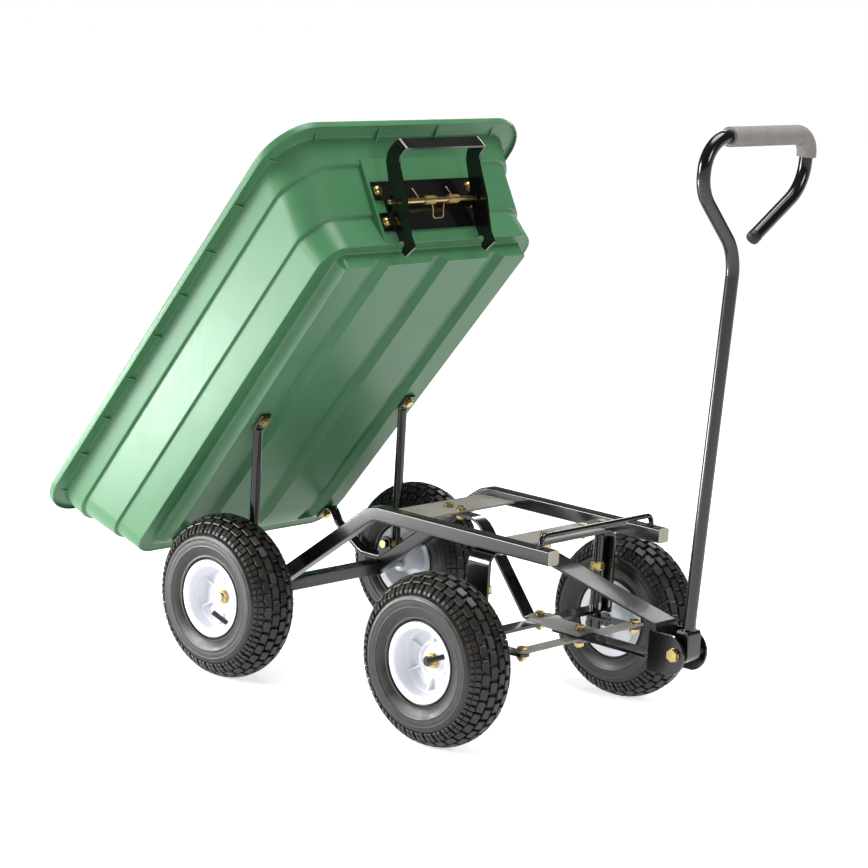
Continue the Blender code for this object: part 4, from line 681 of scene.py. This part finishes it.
def buildPivotPins():
    fastener(
        "handlePivotBolt", (handleX, 0, handleZ), "Y",
        [("hex", 0.0086, -0.0353, -0.0305), ("round", 0.0100, -0.0305, -0.0293),
         ("round", 0.0060, -0.0330, 0.0330), ("round", 0.0100, 0.0293, 0.0305),
         ("hex", 0.0086, 0.0305, 0.0353), ("round", 0.0096, -0.0246, -0.0160),
         ("round", 0.0096, 0.0160, 0.0246)],
        "drawbar", *zinc, "handle_pivot_bolt",
    )
    axle = shade(copyOf("rear_axle_rod", "rearAxleRod"), 40)
    place(axle, "root", "bright_steel", brightSteel, "rear_axle_rod")


buildFrameBolts()
buildDrawbarBolts()
for title, lower, side in sides:
    buildKnuckleBolts(title, lower, side)
    buildTubBolts(title, lower, side)
    buildAxleNut("rear", rearAxle, "root", title, lower, side)
    buildAxleNut("front", frontAxle, "knuckle_" + lower, title, lower, side)
buildPivotPins()
print("bolts made")


# steering
def buildSteering():
    for source, name, body, slot, material, width in (
        ("knuckle_right", "knuckleRight", "knuckle_right", "black_paint", blackPaint, 0.0),
        ("knuckle_left", "knuckleLeft", "knuckle_left", "black_paint", blackPaint, 0.0),
        ("tie_rod_right", "tieRodRight", "tie_right", "grey_paint", greyPaint, 0.0006),
        ("tie_rod_left", "tieRodLeft", "tie_left", "grey_paint", greyPaint, 0.0006),
        ("drawbar_strap", "drawbarStrap", "drawbar", "grey_paint", charcoalPaint, 0.0008),
        ("steering_plate", "steeringPlate", "drawbar", "grey_paint", greyPaint, 0.0007),
        ("drawbar_arm", "drawbarArm", "drawbar", "black_paint", blackPaint, 0.0009),
        ("drawbar_head", "drawbarHead", "drawbar", "black_paint", blackPaint, 0.0010),
    ):
        obj = copyOf(source, name)
        if width:
            softEdges(obj, width)
        place(shade(obj, 40), body, slot, material, source)


buildSteering()
print("steering made")

# handle: tube, foot, end cap and foam grip
handle = {
    "lean": 0.054, "radius": 0.0098, "bends": [0.080, 0.060, 0.045, 0.030, 0.062],
    "corners": [
        (0, 0.193), (0, 0.757), (-0.0945, 0.848), (-0.0945, 0.9225), (0.143, 0.9225), (0.143, 0.848),
        (0.037, 0.777),
    ],
    "foot": {"radius": 0.015, "half": 0.0155, "top": 0.205, "neck": 0.012, "shoulder": 0.006},
    "cap": [
        (0, 0.0030), (0.0060, 0.0028), (0.0088, 0.0020), (0.0098, 0.0008), (0.0101, -0.0010),
        (0.0101, -0.0080), (0.0098, -0.0085), (0, -0.0085),
    ],
}


def handlePlace(y, z):
    return Vector((handleX + handle["lean"] * (z - handleZ), y, z))


def buildFoot():
    foot, thin = handle["foot"], handle["radius"]
    neck, shoulder = foot["neck"], foot["shoulder"]
    outline = []
    for k in range(25):
        angle = math.radians(170 + 200 * k / 24)
        x = handleX + foot["radius"] * math.cos(angle)
        outline.append((x, handleZ + foot["radius"] * math.sin(angle)))
    top = handlePlace(0, foot["top"])
    for out, drop in ((neck, shoulder), (thin, 0), (-thin, 0), (-neck, shoulder)):
        outline.append((top.x + out, top.z - drop))
    return softEdges(slab("foot", outline, -foot["half"], foot["half"], "Y"), 0.0016, 3)


def buildHandle():
    path = rounded([handlePlace(y, z) for y, z in handle["corners"]], handle["bends"], 14)
    pipe = tube("handleTube", path, handle["radius"], 10)
    joinAll([pipe, buildFoot()], "handleTube")
    place(shade(pipe, 45), "handle", "black_paint", blackPaint, "handle_tube")
    away = (path[-1] - path[-2]).normalized()
    cap = turned("handleEndCap", handle["cap"])
    moveBy(cap, Matrix.Translation(path[-1]) @ away.to_track_quat("Z", "Y").to_matrix().to_4x4())
    place(shade(cap), "handle", "black_paint", blackPlastic)


grip = {
    "corners": [(-0.047, 0.9225), (0.143, 0.9225), (0.143, 0.8905)], "bend": 0.030, "radius": 0.0143,
    "edge": 0.0035, "fill": 0.9,
}


def buildGrip():
    path = rounded([handlePlace(y, z) for y, z in grip["corners"]], [grip["bend"]], 16)
    sleeve = softEdges(tube("foamGrip", path, grip["radius"], 12), grip["edge"], 4, 60)
    place(shade(sleeve, 60), "handle", "grip_foam", gripFoam, "handle_grip")


buildHandle()
buildGrip()
print("handle made")

# wheels
tyre = {
    "radius": 0.130, "section": (0.040, 0.0435), "inner": (0.035, 0.0385), "segments": 96, "treadFrom": 0.112,
    "shoulder": ((44, 0.0050), (68, 0.0028), (76, 0.0)), "rings": ((82, 86), (98, 101)), "ringHeight": 0.0005,
    "bead": [
        (0.0700, 0.0379), (0.0684, 0.0369), (0.0668, 0.0371), (0.0654, 0.0370), (0.0644, 0.0360),
        (0.0637, 0.0340), (0.0618, 0.0330), (0.0548, 0.0345), (0.0545, 0.0300),
    ],
    "pitches": 36,
    "blocks": (
        ((0.0172, 0.0110, 0.0056), 0.0012, ((0, 0), (-18.5, 0.5), (18.5, 0.5), (-37, 0), (37, 0))),
        ((0.0074, 0.0086, 0.0042), 0.0008, ((-53, 0.28), (-53, 0.72), (53, 0.28), (53, 0.72))),
        ((0.0066, 0.0062, 0.0032), 0.0007, ((-65, 0.28), (-65, 0.72), (65, 0.28), (65, 0.72))),
    ),
}
tyre["centre"] = tyre["radius"] - tyre["section"][0]


def tyreDepth(angle):
    # how far the carcass lies below the tread's top at an angle across the section
    across = abs(math.degrees(angle))
    for (start, deep), (end, shallow) in zip(tyre["shoulder"], tyre["shoulder"][1:]):
        if across < end:
            return deep + (shallow - deep) * max(0, across - start) / (end - start)
    raised = any(start < across < end for start, end in tyre["rings"])
    return -tyre["ringHeight"] if raised else 0.0


def sectionPlace(angle, depth):
    radial, axial = tyre["section"]
    return tyre["centre"] + (radial - depth) * math.cos(angle), (axial - depth) * math.sin(angle)


def tyreProfile():
    profile = []
    for k in range(117):
        angle = math.radians(116 - 2 * k)
        profile.append(sectionPlace(angle, tyreDepth(angle)))
    profile += [(radius, -y) for radius, y in tyre["bead"]]
    radial, axial = tyre["inner"]
    for k in range(23):
        angle = math.radians(-110 + 10 * k)
        profile.append((tyre["centre"] + radial * math.cos(angle), axial * math.sin(angle)))
    return profile + list(reversed(tyre["bead"]))


def treadBlock(size, angle, turn, edge):
    bpy.ops.mesh.primitive_cube_add(size=1)
    block = bpy.context.active_object
    block.scale = size
    bpy.ops.object.transform_apply(location=False, rotation=False, scale=True)
    softEdges(block, edge, 1)
    radius, y = sectionPlace(angle, size[2] / 2)
    lift = Matrix.Translation((0, y, radius)) @ Matrix.Rotation(-angle, 4, "X")
    return moveBy(block, Matrix.Rotation(turn, 4, "Y") @ lift)


def buildTread():
    # each kind of block: size, rounding, and places as (degrees across, pitches round)
    pitch = math.tau / tyre["pitches"]
    made = []
    for size, edge, places in tyre["blocks"]:
        for across, shift in places:
            made.append(treadBlock(size, math.radians(across), shift * pitch, edge))
    return aroundAxle(joinAll(made, "tread"), tyre["pitches"])


def buildTyre():
    carcass = turned("tyre", tyreProfile(), tyre["segments"], "Y", True)
    shade(carcass, 30)
    tread = shade(buildTread(), 30)
    carcass.data.materials.append(wallRubber)
    carcass.data.materials.append(treadRubber)
    for polygon in carcass.data.polygons:
        out = math.hypot(polygon.center.x, polygon.center.z)
        if out > tyre["treadFrom"]:
            polygon.material_index = 1
    tread.data.materials.append(treadRubber)
    return joinAll([carcass, tread], "tyre")


rim = {
    "outside": [
        (0.0610, 0.0352), (0.0610, 0.0364), (0.0604, 0.0370), (0.0562, 0.0370), (0.0546, 0.0366),
        (0.0530, 0.0353), (0.0514, 0.0346), (0.0505, 0.0332), (0.0498, 0.0300), (0.0482, 0.0184),
        (0.0472, 0.0168), (0.0456, 0.0162), (0.0446, 0.0150), (0.0438, 0.0112), (0.0430, 0.0078),
        (0.0414, 0.0060), (0.0304, 0.0050), (0.0288, 0.0056), (0.0278, 0.0074), (0.0264, 0.0080),
        (0.0236, 0.0078), (0.0225, 0.0064), (0.0214, 0.0050), (0.0205, 0.0050), (0.0193, 0.0060),
        (0.0185, 0.0075), (0.0083, 0.0075),
    ],
    "inside": [
        (0.0083, -0.0460), (0.0158, -0.0460), (0.0162, -0.0455), (0.0190, -0.0040), (0.0200, -0.0035),
        (0.0440, -0.0035), (0.0460, -0.0050), (0.0475, -0.0330), (0.0500, -0.0358), (0.0604, -0.0370),
        (0.0610, -0.0364), (0.0610, -0.0352), (0.0604, -0.0348), (0.0540, -0.0348), (0.0535, -0.0340),
        (0.0535, 0.0340), (0.0540, 0.0348), (0.0604, 0.0348),
    ],
    "rib": [(0.0040, 0.0195), (0.0068, 0.0195), (0.0100, 0.0300), (0.0172, 0.0468), (0.0040, 0.0468)],
    "ribHalf": 0.0012, "ribs": 6,
}


def buildRim():
    body = turned("rim", rim["outside"] + rim["inside"], 96, "Y", True)
    softEdges(body, 0.0004, 2, 40)
    rib = softEdges(slab("rib", rim["rib"], -rim["ribHalf"], rim["ribHalf"], "X"), 0.0005)
    return shade(joinAll([body, aroundAxle(rib, rim["ribs"])], "rim"), 40)


def buildWheels():
    tyreModel = buildTyre()
    rimModel = buildRim()
    for end, x in (("rear", rearAxle), ("front", frontAxle)):
        for title, lower, side in sides:
            label = end.title() + title
            body = f"{end}_wheel_{lower}"
            turn = Matrix.Rotation(0 if side > 0 else math.pi, 4, "Z")
            spot = Matrix.Translation((x, side * halfTrack, axleZ)) @ turn
            tyreObj = copyTo(tyreModel, "tyre" + label, spot)
            place(tyreObj, body, "tyre_rubber", None, f"{end}_{lower}_tyre")
            rimObj = copyTo(rimModel, "rim" + label, spot)
            place(rimObj, body, "white_plastic", whitePlastic, f"{end}_{lower}_rim")
            inner = shade(copyOf(f"{end}_{lower}_inner_tube", "innerTube" + label), 40)
            place(inner, body, "tube_rubber", tubeRubber, f"{end}_{lower}_inner_tube")
    for model in (tyreModel, rimModel):
        bpy.data.objects.remove(model)


buildWheels()
print("wheels made")

# tub, drawn lowered on the rails and then tipped
tub = {
    "pad": 0.3083, "front": 0.5310, "rear": -0.0663, "ramp": 0.0077 / 0.0457, "edge": 0.0022,
    "outside": [
        (0.0000, 0.5310, -0.0663, 0.2037, 0.1875, 0.006), (0.0077, 0.5325, -0.1120, 0.2050, 0.1890, 0.008),
        (0.0162, 0.5340, -0.1200, 0.2062, 0.1905, 0.010), (0.0225, 0.5352, -0.1310, 0.2075, 0.1920, 0.012),
        (0.0240, 0.5370, -0.1335, 0.2105, 0.1955, 0.016), (0.0242, 0.5480, -0.1460, 0.2290, 0.2170, 0.034),
        (0.0225, 0.5525, -0.1503, 0.2370, 0.2260, 0.043), (0.0727, 0.5605, -0.1680, 0.2415, 0.2320, 0.050),
        (0.0737, 0.5660, -0.1735, 0.2470, 0.2375, 0.055), (0.1430, 0.5990, -0.2010, 0.2500, 0.2430, 0.062),
        (0.1440, 0.6050, -0.2070, 0.2560, 0.2490, 0.067), (0.1840, 0.6225, -0.2125, 0.2634, 0.2572, 0.070),
        (0.1866, 0.6462, -0.2175, 0.2813, 0.2813, 0.077), (0.1812, 0.6470, -0.2182, 0.2822, 0.2822, 0.077),
        (0.1812, 0.6490, -0.2198, 0.2842, 0.2842, 0.078), (0.1905, 0.6505, -0.2209, 0.2856, 0.2856, 0.079),
        (0.1921, 0.6488, -0.2191, 0.2838, 0.2838, 0.078),
    ],
    "inside": [
        (0.1921, 0.6180, -0.2080, 0.2590, 0.2525, 0.068), (0.1890, 0.6165, -0.2065, 0.2575, 0.2510, 0.067),
        (0.1485, 0.6000, -0.2025, 0.2515, 0.2445, 0.064), (0.1475, 0.5945, -0.1965, 0.2455, 0.2385, 0.058),
        (0.0782, 0.5620, -0.1695, 0.2425, 0.2330, 0.052), (0.0772, 0.5565, -0.1640, 0.2370, 0.2275, 0.047),
        (0.0292, 0.5480, -0.1460, 0.2320, 0.2210, 0.038), (0.0287, 0.5310, -0.1270, 0.2045, 0.1890, 0.012),
        (0.0230, 0.5305, -0.1255, 0.2035, 0.1880, 0.011), (0.0182, 0.5295, -0.1135, 0.2020, 0.1865, 0.010),
        (0.0045, 0.5265, -0.0663, 0.1992, 0.1830, 0.008),
    ],
}


groove = {
    "spacing": 0.1315, "end": -0.1095,
    "cover": [(-0.0245, 0.0022), (0.0245, 0.0022), (0.0115, 0.0145), (-0.0115, 0.0145)],
    "hollow": [(-0.0265, -0.005), (0.0265, -0.005), (0.007, 0.010), (-0.007, 0.010)],
}
panel = {
    "x": rearAxle + 0.5539, "foot": 0.0262, "top": 0.1497, "lean": 0.46, "half": 0.117,
    "behind": [
        (0.6035, 0.1492), (0.5955, 0.1420), (0.5640, 0.0737), (0.5585, 0.0727), (0.5530, 0.0437),
        (0.5500, 0.0262),
    ],
}


def ringPoints(ring):
    # a ring is its height over the pad, front and rear ends, half widths there and corner radius
    height, front, rear, halfFront, halfRear, corner = ring
    points = []
    for x, y, start in (
        (front - corner, halfFront - corner, 0), (rear + corner, halfRear - corner, 90),
        (rear + corner, corner - halfRear, 180), (front - corner, corner - halfFront, 270),
    ):
        for k in range(11):
            angle = math.radians(start + 9 * k)
            points.append(Vector((
                rearAxle + x + corner * math.cos(angle), y + corner * math.sin(angle), tub["pad"] + height
            )))
    return points


def softRings(rings, reach):
    # each ring but the end ones becomes three, so that the wall's edges are round
    made = [rings[0]]
    for before, ring, after in zip(rings, rings[1:], rings[2:]):
        pair = []
        for other in (before, after):
            span = math.hypot(other[0] - ring[0], other[3] - ring[3])
            share = min(0.45, reach / span)
            pair.append([a + (b - a) * share for a, b in zip(ring, other)])
        middle = [(first + 2 * at + last) / 4 for first, at, last in zip(pair[0], ring, pair[1])]
        made += [pair[0], middle, pair[1]]
    return made + [rings[-1]]


def growWall(name, rings):
    first = ringPoints(rings[0])
    bpy.ops.mesh.primitive_circle_add(vertices=len(first), radius=1, fill_type="NGON")
    obj = bpy.context.active_object
    obj.name = name
    for vertex, spot in zip(obj.data.vertices, first):
        vertex.co = spot
    order = list(range(len(first)))
    activate(obj)
    for ring in rings[1:]:
        bpy.ops.object.mode_set(mode="EDIT")
        if ring is rings[1]:
            bpy.ops.mesh.select_all(action="SELECT")
        bpy.ops.mesh.extrude_region_move()
        bpy.ops.object.mode_set(mode="OBJECT")
        mesh = obj.data
        chosen = [vertex for vertex in mesh.vertices if vertex.select]
        old = {tuple(round(c, 7) for c in mesh.vertices[k].co): n for n, k in enumerate(order)}
        places = ringPoints(ring)
        order = [0] * len(places)
        for vertex in chosen:
            n = old[tuple(round(c, 7) for c in vertex.co)]
            order[n] = vertex.index
        for n, k in enumerate(order):
            mesh.vertices[k].co = places[n]
    return cleanUp(obj, 0.000001)


def cutWith(obj, tool, operation):
    addModifier(obj, "BOOLEAN", operation=operation, solver="EXACT", object=tool)
    bpy.data.objects.remove(tool)


def panelPlace(height):
    return panel["x"] + panel["lean"] * (height - panel["foot"]), tub["pad"] + height


def grooveBar(name, y, outline, rear, front):
    # a bar along the pad whose rear end follows the ramp
    obj = slab(name, [(y + u, tub["pad"] + v) for u, v in outline], rearAxle + rear, rearAxle + front, "X")
    activate(obj)
    bpy.ops.object.mode_set(mode="EDIT")
    bpy.ops.mesh.select_all(action="SELECT")
    bpy.ops.mesh.bisect(plane_co=(rearAxle + tub["rear"], 0, 0), plane_no=(1, 0, 0))
    bpy.ops.object.mode_set(mode="OBJECT")
    for vertex in obj.data.vertices:
        vertex.co.z += max(0, rearAxle + tub["rear"] - vertex.co.x) * tub["ramp"]
    return obj


def buildTub():
    wall = growWall("tub", softRings(tub["outside"] + tub["inside"], tub["edge"]))
    lines = [k * groove["spacing"] for k in (-1, 0, 1)]
    for y in lines:
        cover = grooveBar("rib", y, groove["cover"], groove["end"] - 0.004, tub["front"] - 0.0003)
        cutWith(wall, softEdges(cover, 0.0010), "UNION")
    outline = [panelPlace(panel["foot"]), panelPlace(panel["top"])]
    outline += [(rearAxle + x, tub["pad"] + z) for x, z in panel["behind"]]
    front = slab("panel", outline, -panel["half"], panel["half"], "Y")
    cutWith(wall, softEdges(front, 0.0010), "UNION")
    for y in lines:
        hollow = grooveBar("groove", y, groove["hollow"], groove["end"], tub["front"] + 0.030)
        cutWith(wall, softEdges(hollow, 0.0018, 3), "DIFFERENCE")
    shade(wall, 32)
    return joinAll([wall, shade(buildGussets(), 30)], "tub")


# small ribs in the corner under the rim: foot, lip and top are heights over the pad
gusset = {
    "foot": 0.1755, "lip": 0.1860, "top": 0.1864, "half": 0.0013, "sunk": 0.002, "reach": 0.0180,
    "wallX": (0.54, -0.13), "wallY": (0.2612, 0.2550), "cornerX": (0.56, -0.14), "inset": (0.0095, 0.0085),
    "sideX": (0.581, 0.486, 0.388, 0.293, 0.202, 0.104, 0.011, -0.075, -0.166),
    "endY": ((-0.198, 0.007), (-0.066, 0.001), (0.066, 0.001), (0.198, 0.007)),
    "ends": ((0.6180, 1, 0.027), (-0.2100, -1, 0.007)),
}


def gussetSlab(back, tip, spot, axis):
    foot, lip, top = [tub["pad"] + gusset[key] for key in ("foot", "lip", "top")]
    outline = [(back, foot), (tip, lip), (tip, top), (back, top)]
    return slab("gusset", outline, spot - gusset["half"], spot + gusset["half"], axis)


def sideWall(x):
    # half the tub's width below the rim
    (startX, endX), (startY, endY) = gusset["wallX"], gusset["wallY"]
    share = min(1, max(0, (startX - x) / (startX - endX)))
    if x > gusset["cornerX"][0]:
        return startY - gusset["inset"][0]
    if x < gusset["cornerX"][1]:
        return endY - gusset["inset"][1]
    return startY + (endY - startY) * share


def buildGussets():
    made = []
    for x in gusset["sideX"]:
        near, far = sideWall(x) - gusset["sunk"], sideWall(x) + gusset["reach"]
        for side in (-1, 1):
            made.append(gussetSlab(side * near, side * far, rearAxle + x, "X"))
    for y, sunk in gusset["endY"]:
        for wallX, out, reach in gusset["ends"]:
            near = rearAxle + wallX - out * sunk
            made.append(gussetSlab(near, near + out * reach, y, "Y"))
    return softEdges(joinAll(made, "gussets"), 0.0004, 1)


tubObj = buildTub()
moveBy(tubObj, tipTurn)
place(tubObj, "tub", "green_plastic", greenPlastic, "tub")
for title, lower, side in sides:
    support = shade(copyOf("tub_support_" + lower, "tubSupport" + title), 45)
    place(support, "tub", "black_paint", blackPaint, "tub_support_" + lower)
print("tub made")

# latch on the tub's front
latch = {
    "pivot": (0.5965, 0.3775),
    "rod": [(0, -0.106), (0.0034, -0.106), (0.004, -0.1052), (0.004, 0.1052), (0.0034, 0.106), (0, 0.106)],
    "bolt": [
        (0, 0), (0.0085, 0), (0.0085, 0.0010), (0.0068, 0.0014), (0.0066, 0.0040), (0.0050, 0.0054),
        (0, 0.0058),
    ],
    "boltPlaces": ((-0.1035, 0.0315), (-0.1035, 0.082), (0.1035, 0.0315), (0.1035, 0.082)),
    "plateTop": 0.0033,
}
spring = {
    "wire": 0.001, "coil": 0.0062, "turns": 5, "pitch": 0.0048, "steps": 20, "start": -0.028, "gap": 0.029,
    "seat": 0.0046, "leg": ((0.026, 0), (0.013, 0.5)),
    "loop": (
        (0.003, -0.012, 0.5), (0.003, -0.021, 0.1), (0.006, -0.024, 0), (0.023, -0.024, 0),
        (0.026, -0.021, 0.1), (0.026, -0.012, 0.5),
    ),
}


def panelFrame():
    # across, up and out of the tub's front panel
    lean = panel["lean"]
    length = math.hypot(lean, 1)
    grid = Matrix.Identity(4)
    for k, vector in enumerate(((0, 1, 0), (lean / length, 0, 1 / length), (1 / length, 0, -lean / length))):
        grid.col[k] = (*vector, 0)
    grid.col[3] = (panel["x"], 0, tub["pad"] + panel["foot"], 1)
    return grid


def springPoints(pivot):
    # leg, coil, loop, coil and leg as (across, up, out) of the panel
    run, count = spring["turns"] * spring["pitch"], spring["turns"] * spring["steps"]
    coil, seat = spring["coil"], spring["seat"]

    def at(u, v, share):
        return u, pivot.y + v, seat + (pivot.z - coil - seat) * share

    def wound(first):
        made = []
        for k in range(count + 1):
            angle = math.radians(-90) - math.tau * k / spring["steps"]
            across = first + run * k / count
            made.append((across, pivot.y + coil * math.cos(angle), pivot.z + coil * math.sin(angle)))
        return made

    start = spring["start"]
    inner = start + run
    far = inner + spring["gap"]
    points = [at(start, v, share) for v, share in spring["leg"]] + wound(start)
    points += [at(inner + u, v, share) for u, v, share in spring["loop"]] + wound(far)
    return points + [at(far + run, v, share) for v, share in reversed(spring["leg"])]


def buildLatch():
    grid = panelFrame()
    pivotPlace = Vector((rearAxle + latch["pivot"][0], 0, latch["pivot"][1]))
    plate = softEdges(copyOf("latch_plate", "latchPlate"), 0.0006)
    place(shade(plate, 40), "tub", "black_paint", blackPaint, "latch_plate")
    rod = turned("latchRod", latch["rod"], 32, "Y")
    moveBy(rod, tipTurn @ Matrix.Translation(pivotPlace))
    place(shade(rod, 40), "tub", "yellow_zinc", yellowZinc, "latch_rod")
    path = [grid @ Vector(point) for point in springPoints(grid.inverted() @ pivotPlace)]
    wire = moveBy(tube("latchSpring", path, spring["wire"], 4), tipTurn)
    place(shade(wire, 60), "tub", "yellow_zinc", yellowZinc, "latch_spring")
    for k, (u, v) in enumerate(latch["boltPlaces"]):
        spot = grid @ Vector((u, v, latch["plateTop"]))
        bolt = turned(f"latchBolt{k + 1}", latch["bolt"], 24)
        moveBy(bolt, tipTurn @ Matrix.Translation(spot) @ grid.to_3x3().to_4x4())
        place(shade(bolt, 40), "tub", "yellow_zinc", yellowZinc)


bail = {"from": 0.50, "half": 0.0926, "corner": (0.6651, 0.0856), "round": 0.007, "low": 0.29, "high": 0.45}


def buildBail():
    # the bent strap gets round outer corners
    strap = moveBy(copyOf("latch_bail", "latchBail"), tipTurn.inverted())
    start, half = rearAxle + bail["from"], bail["half"]
    x, y = rearAxle + bail["corner"][0], bail["corner"][1]
    outline = [(start, half), (start, -half)]
    for side, first in ((-1, -90), (1, 0)):
        for k in range(9):
            angle = math.radians(first + 90 * k / 8)
            outline.append((x + bail["round"] * math.cos(angle), side * y + bail["round"] * math.sin(angle)))
    cutWith(strap, slab("corners", outline, bail["low"], bail["high"]), "INTERSECT")
    moveBy(softEdges(strap, 0.0009, 3), tipTurn)
    place(shade(strap, 40), "latch", "black_paint", blackPaint, "latch_bail")


buildLatch()
buildBail()
print("latch made")
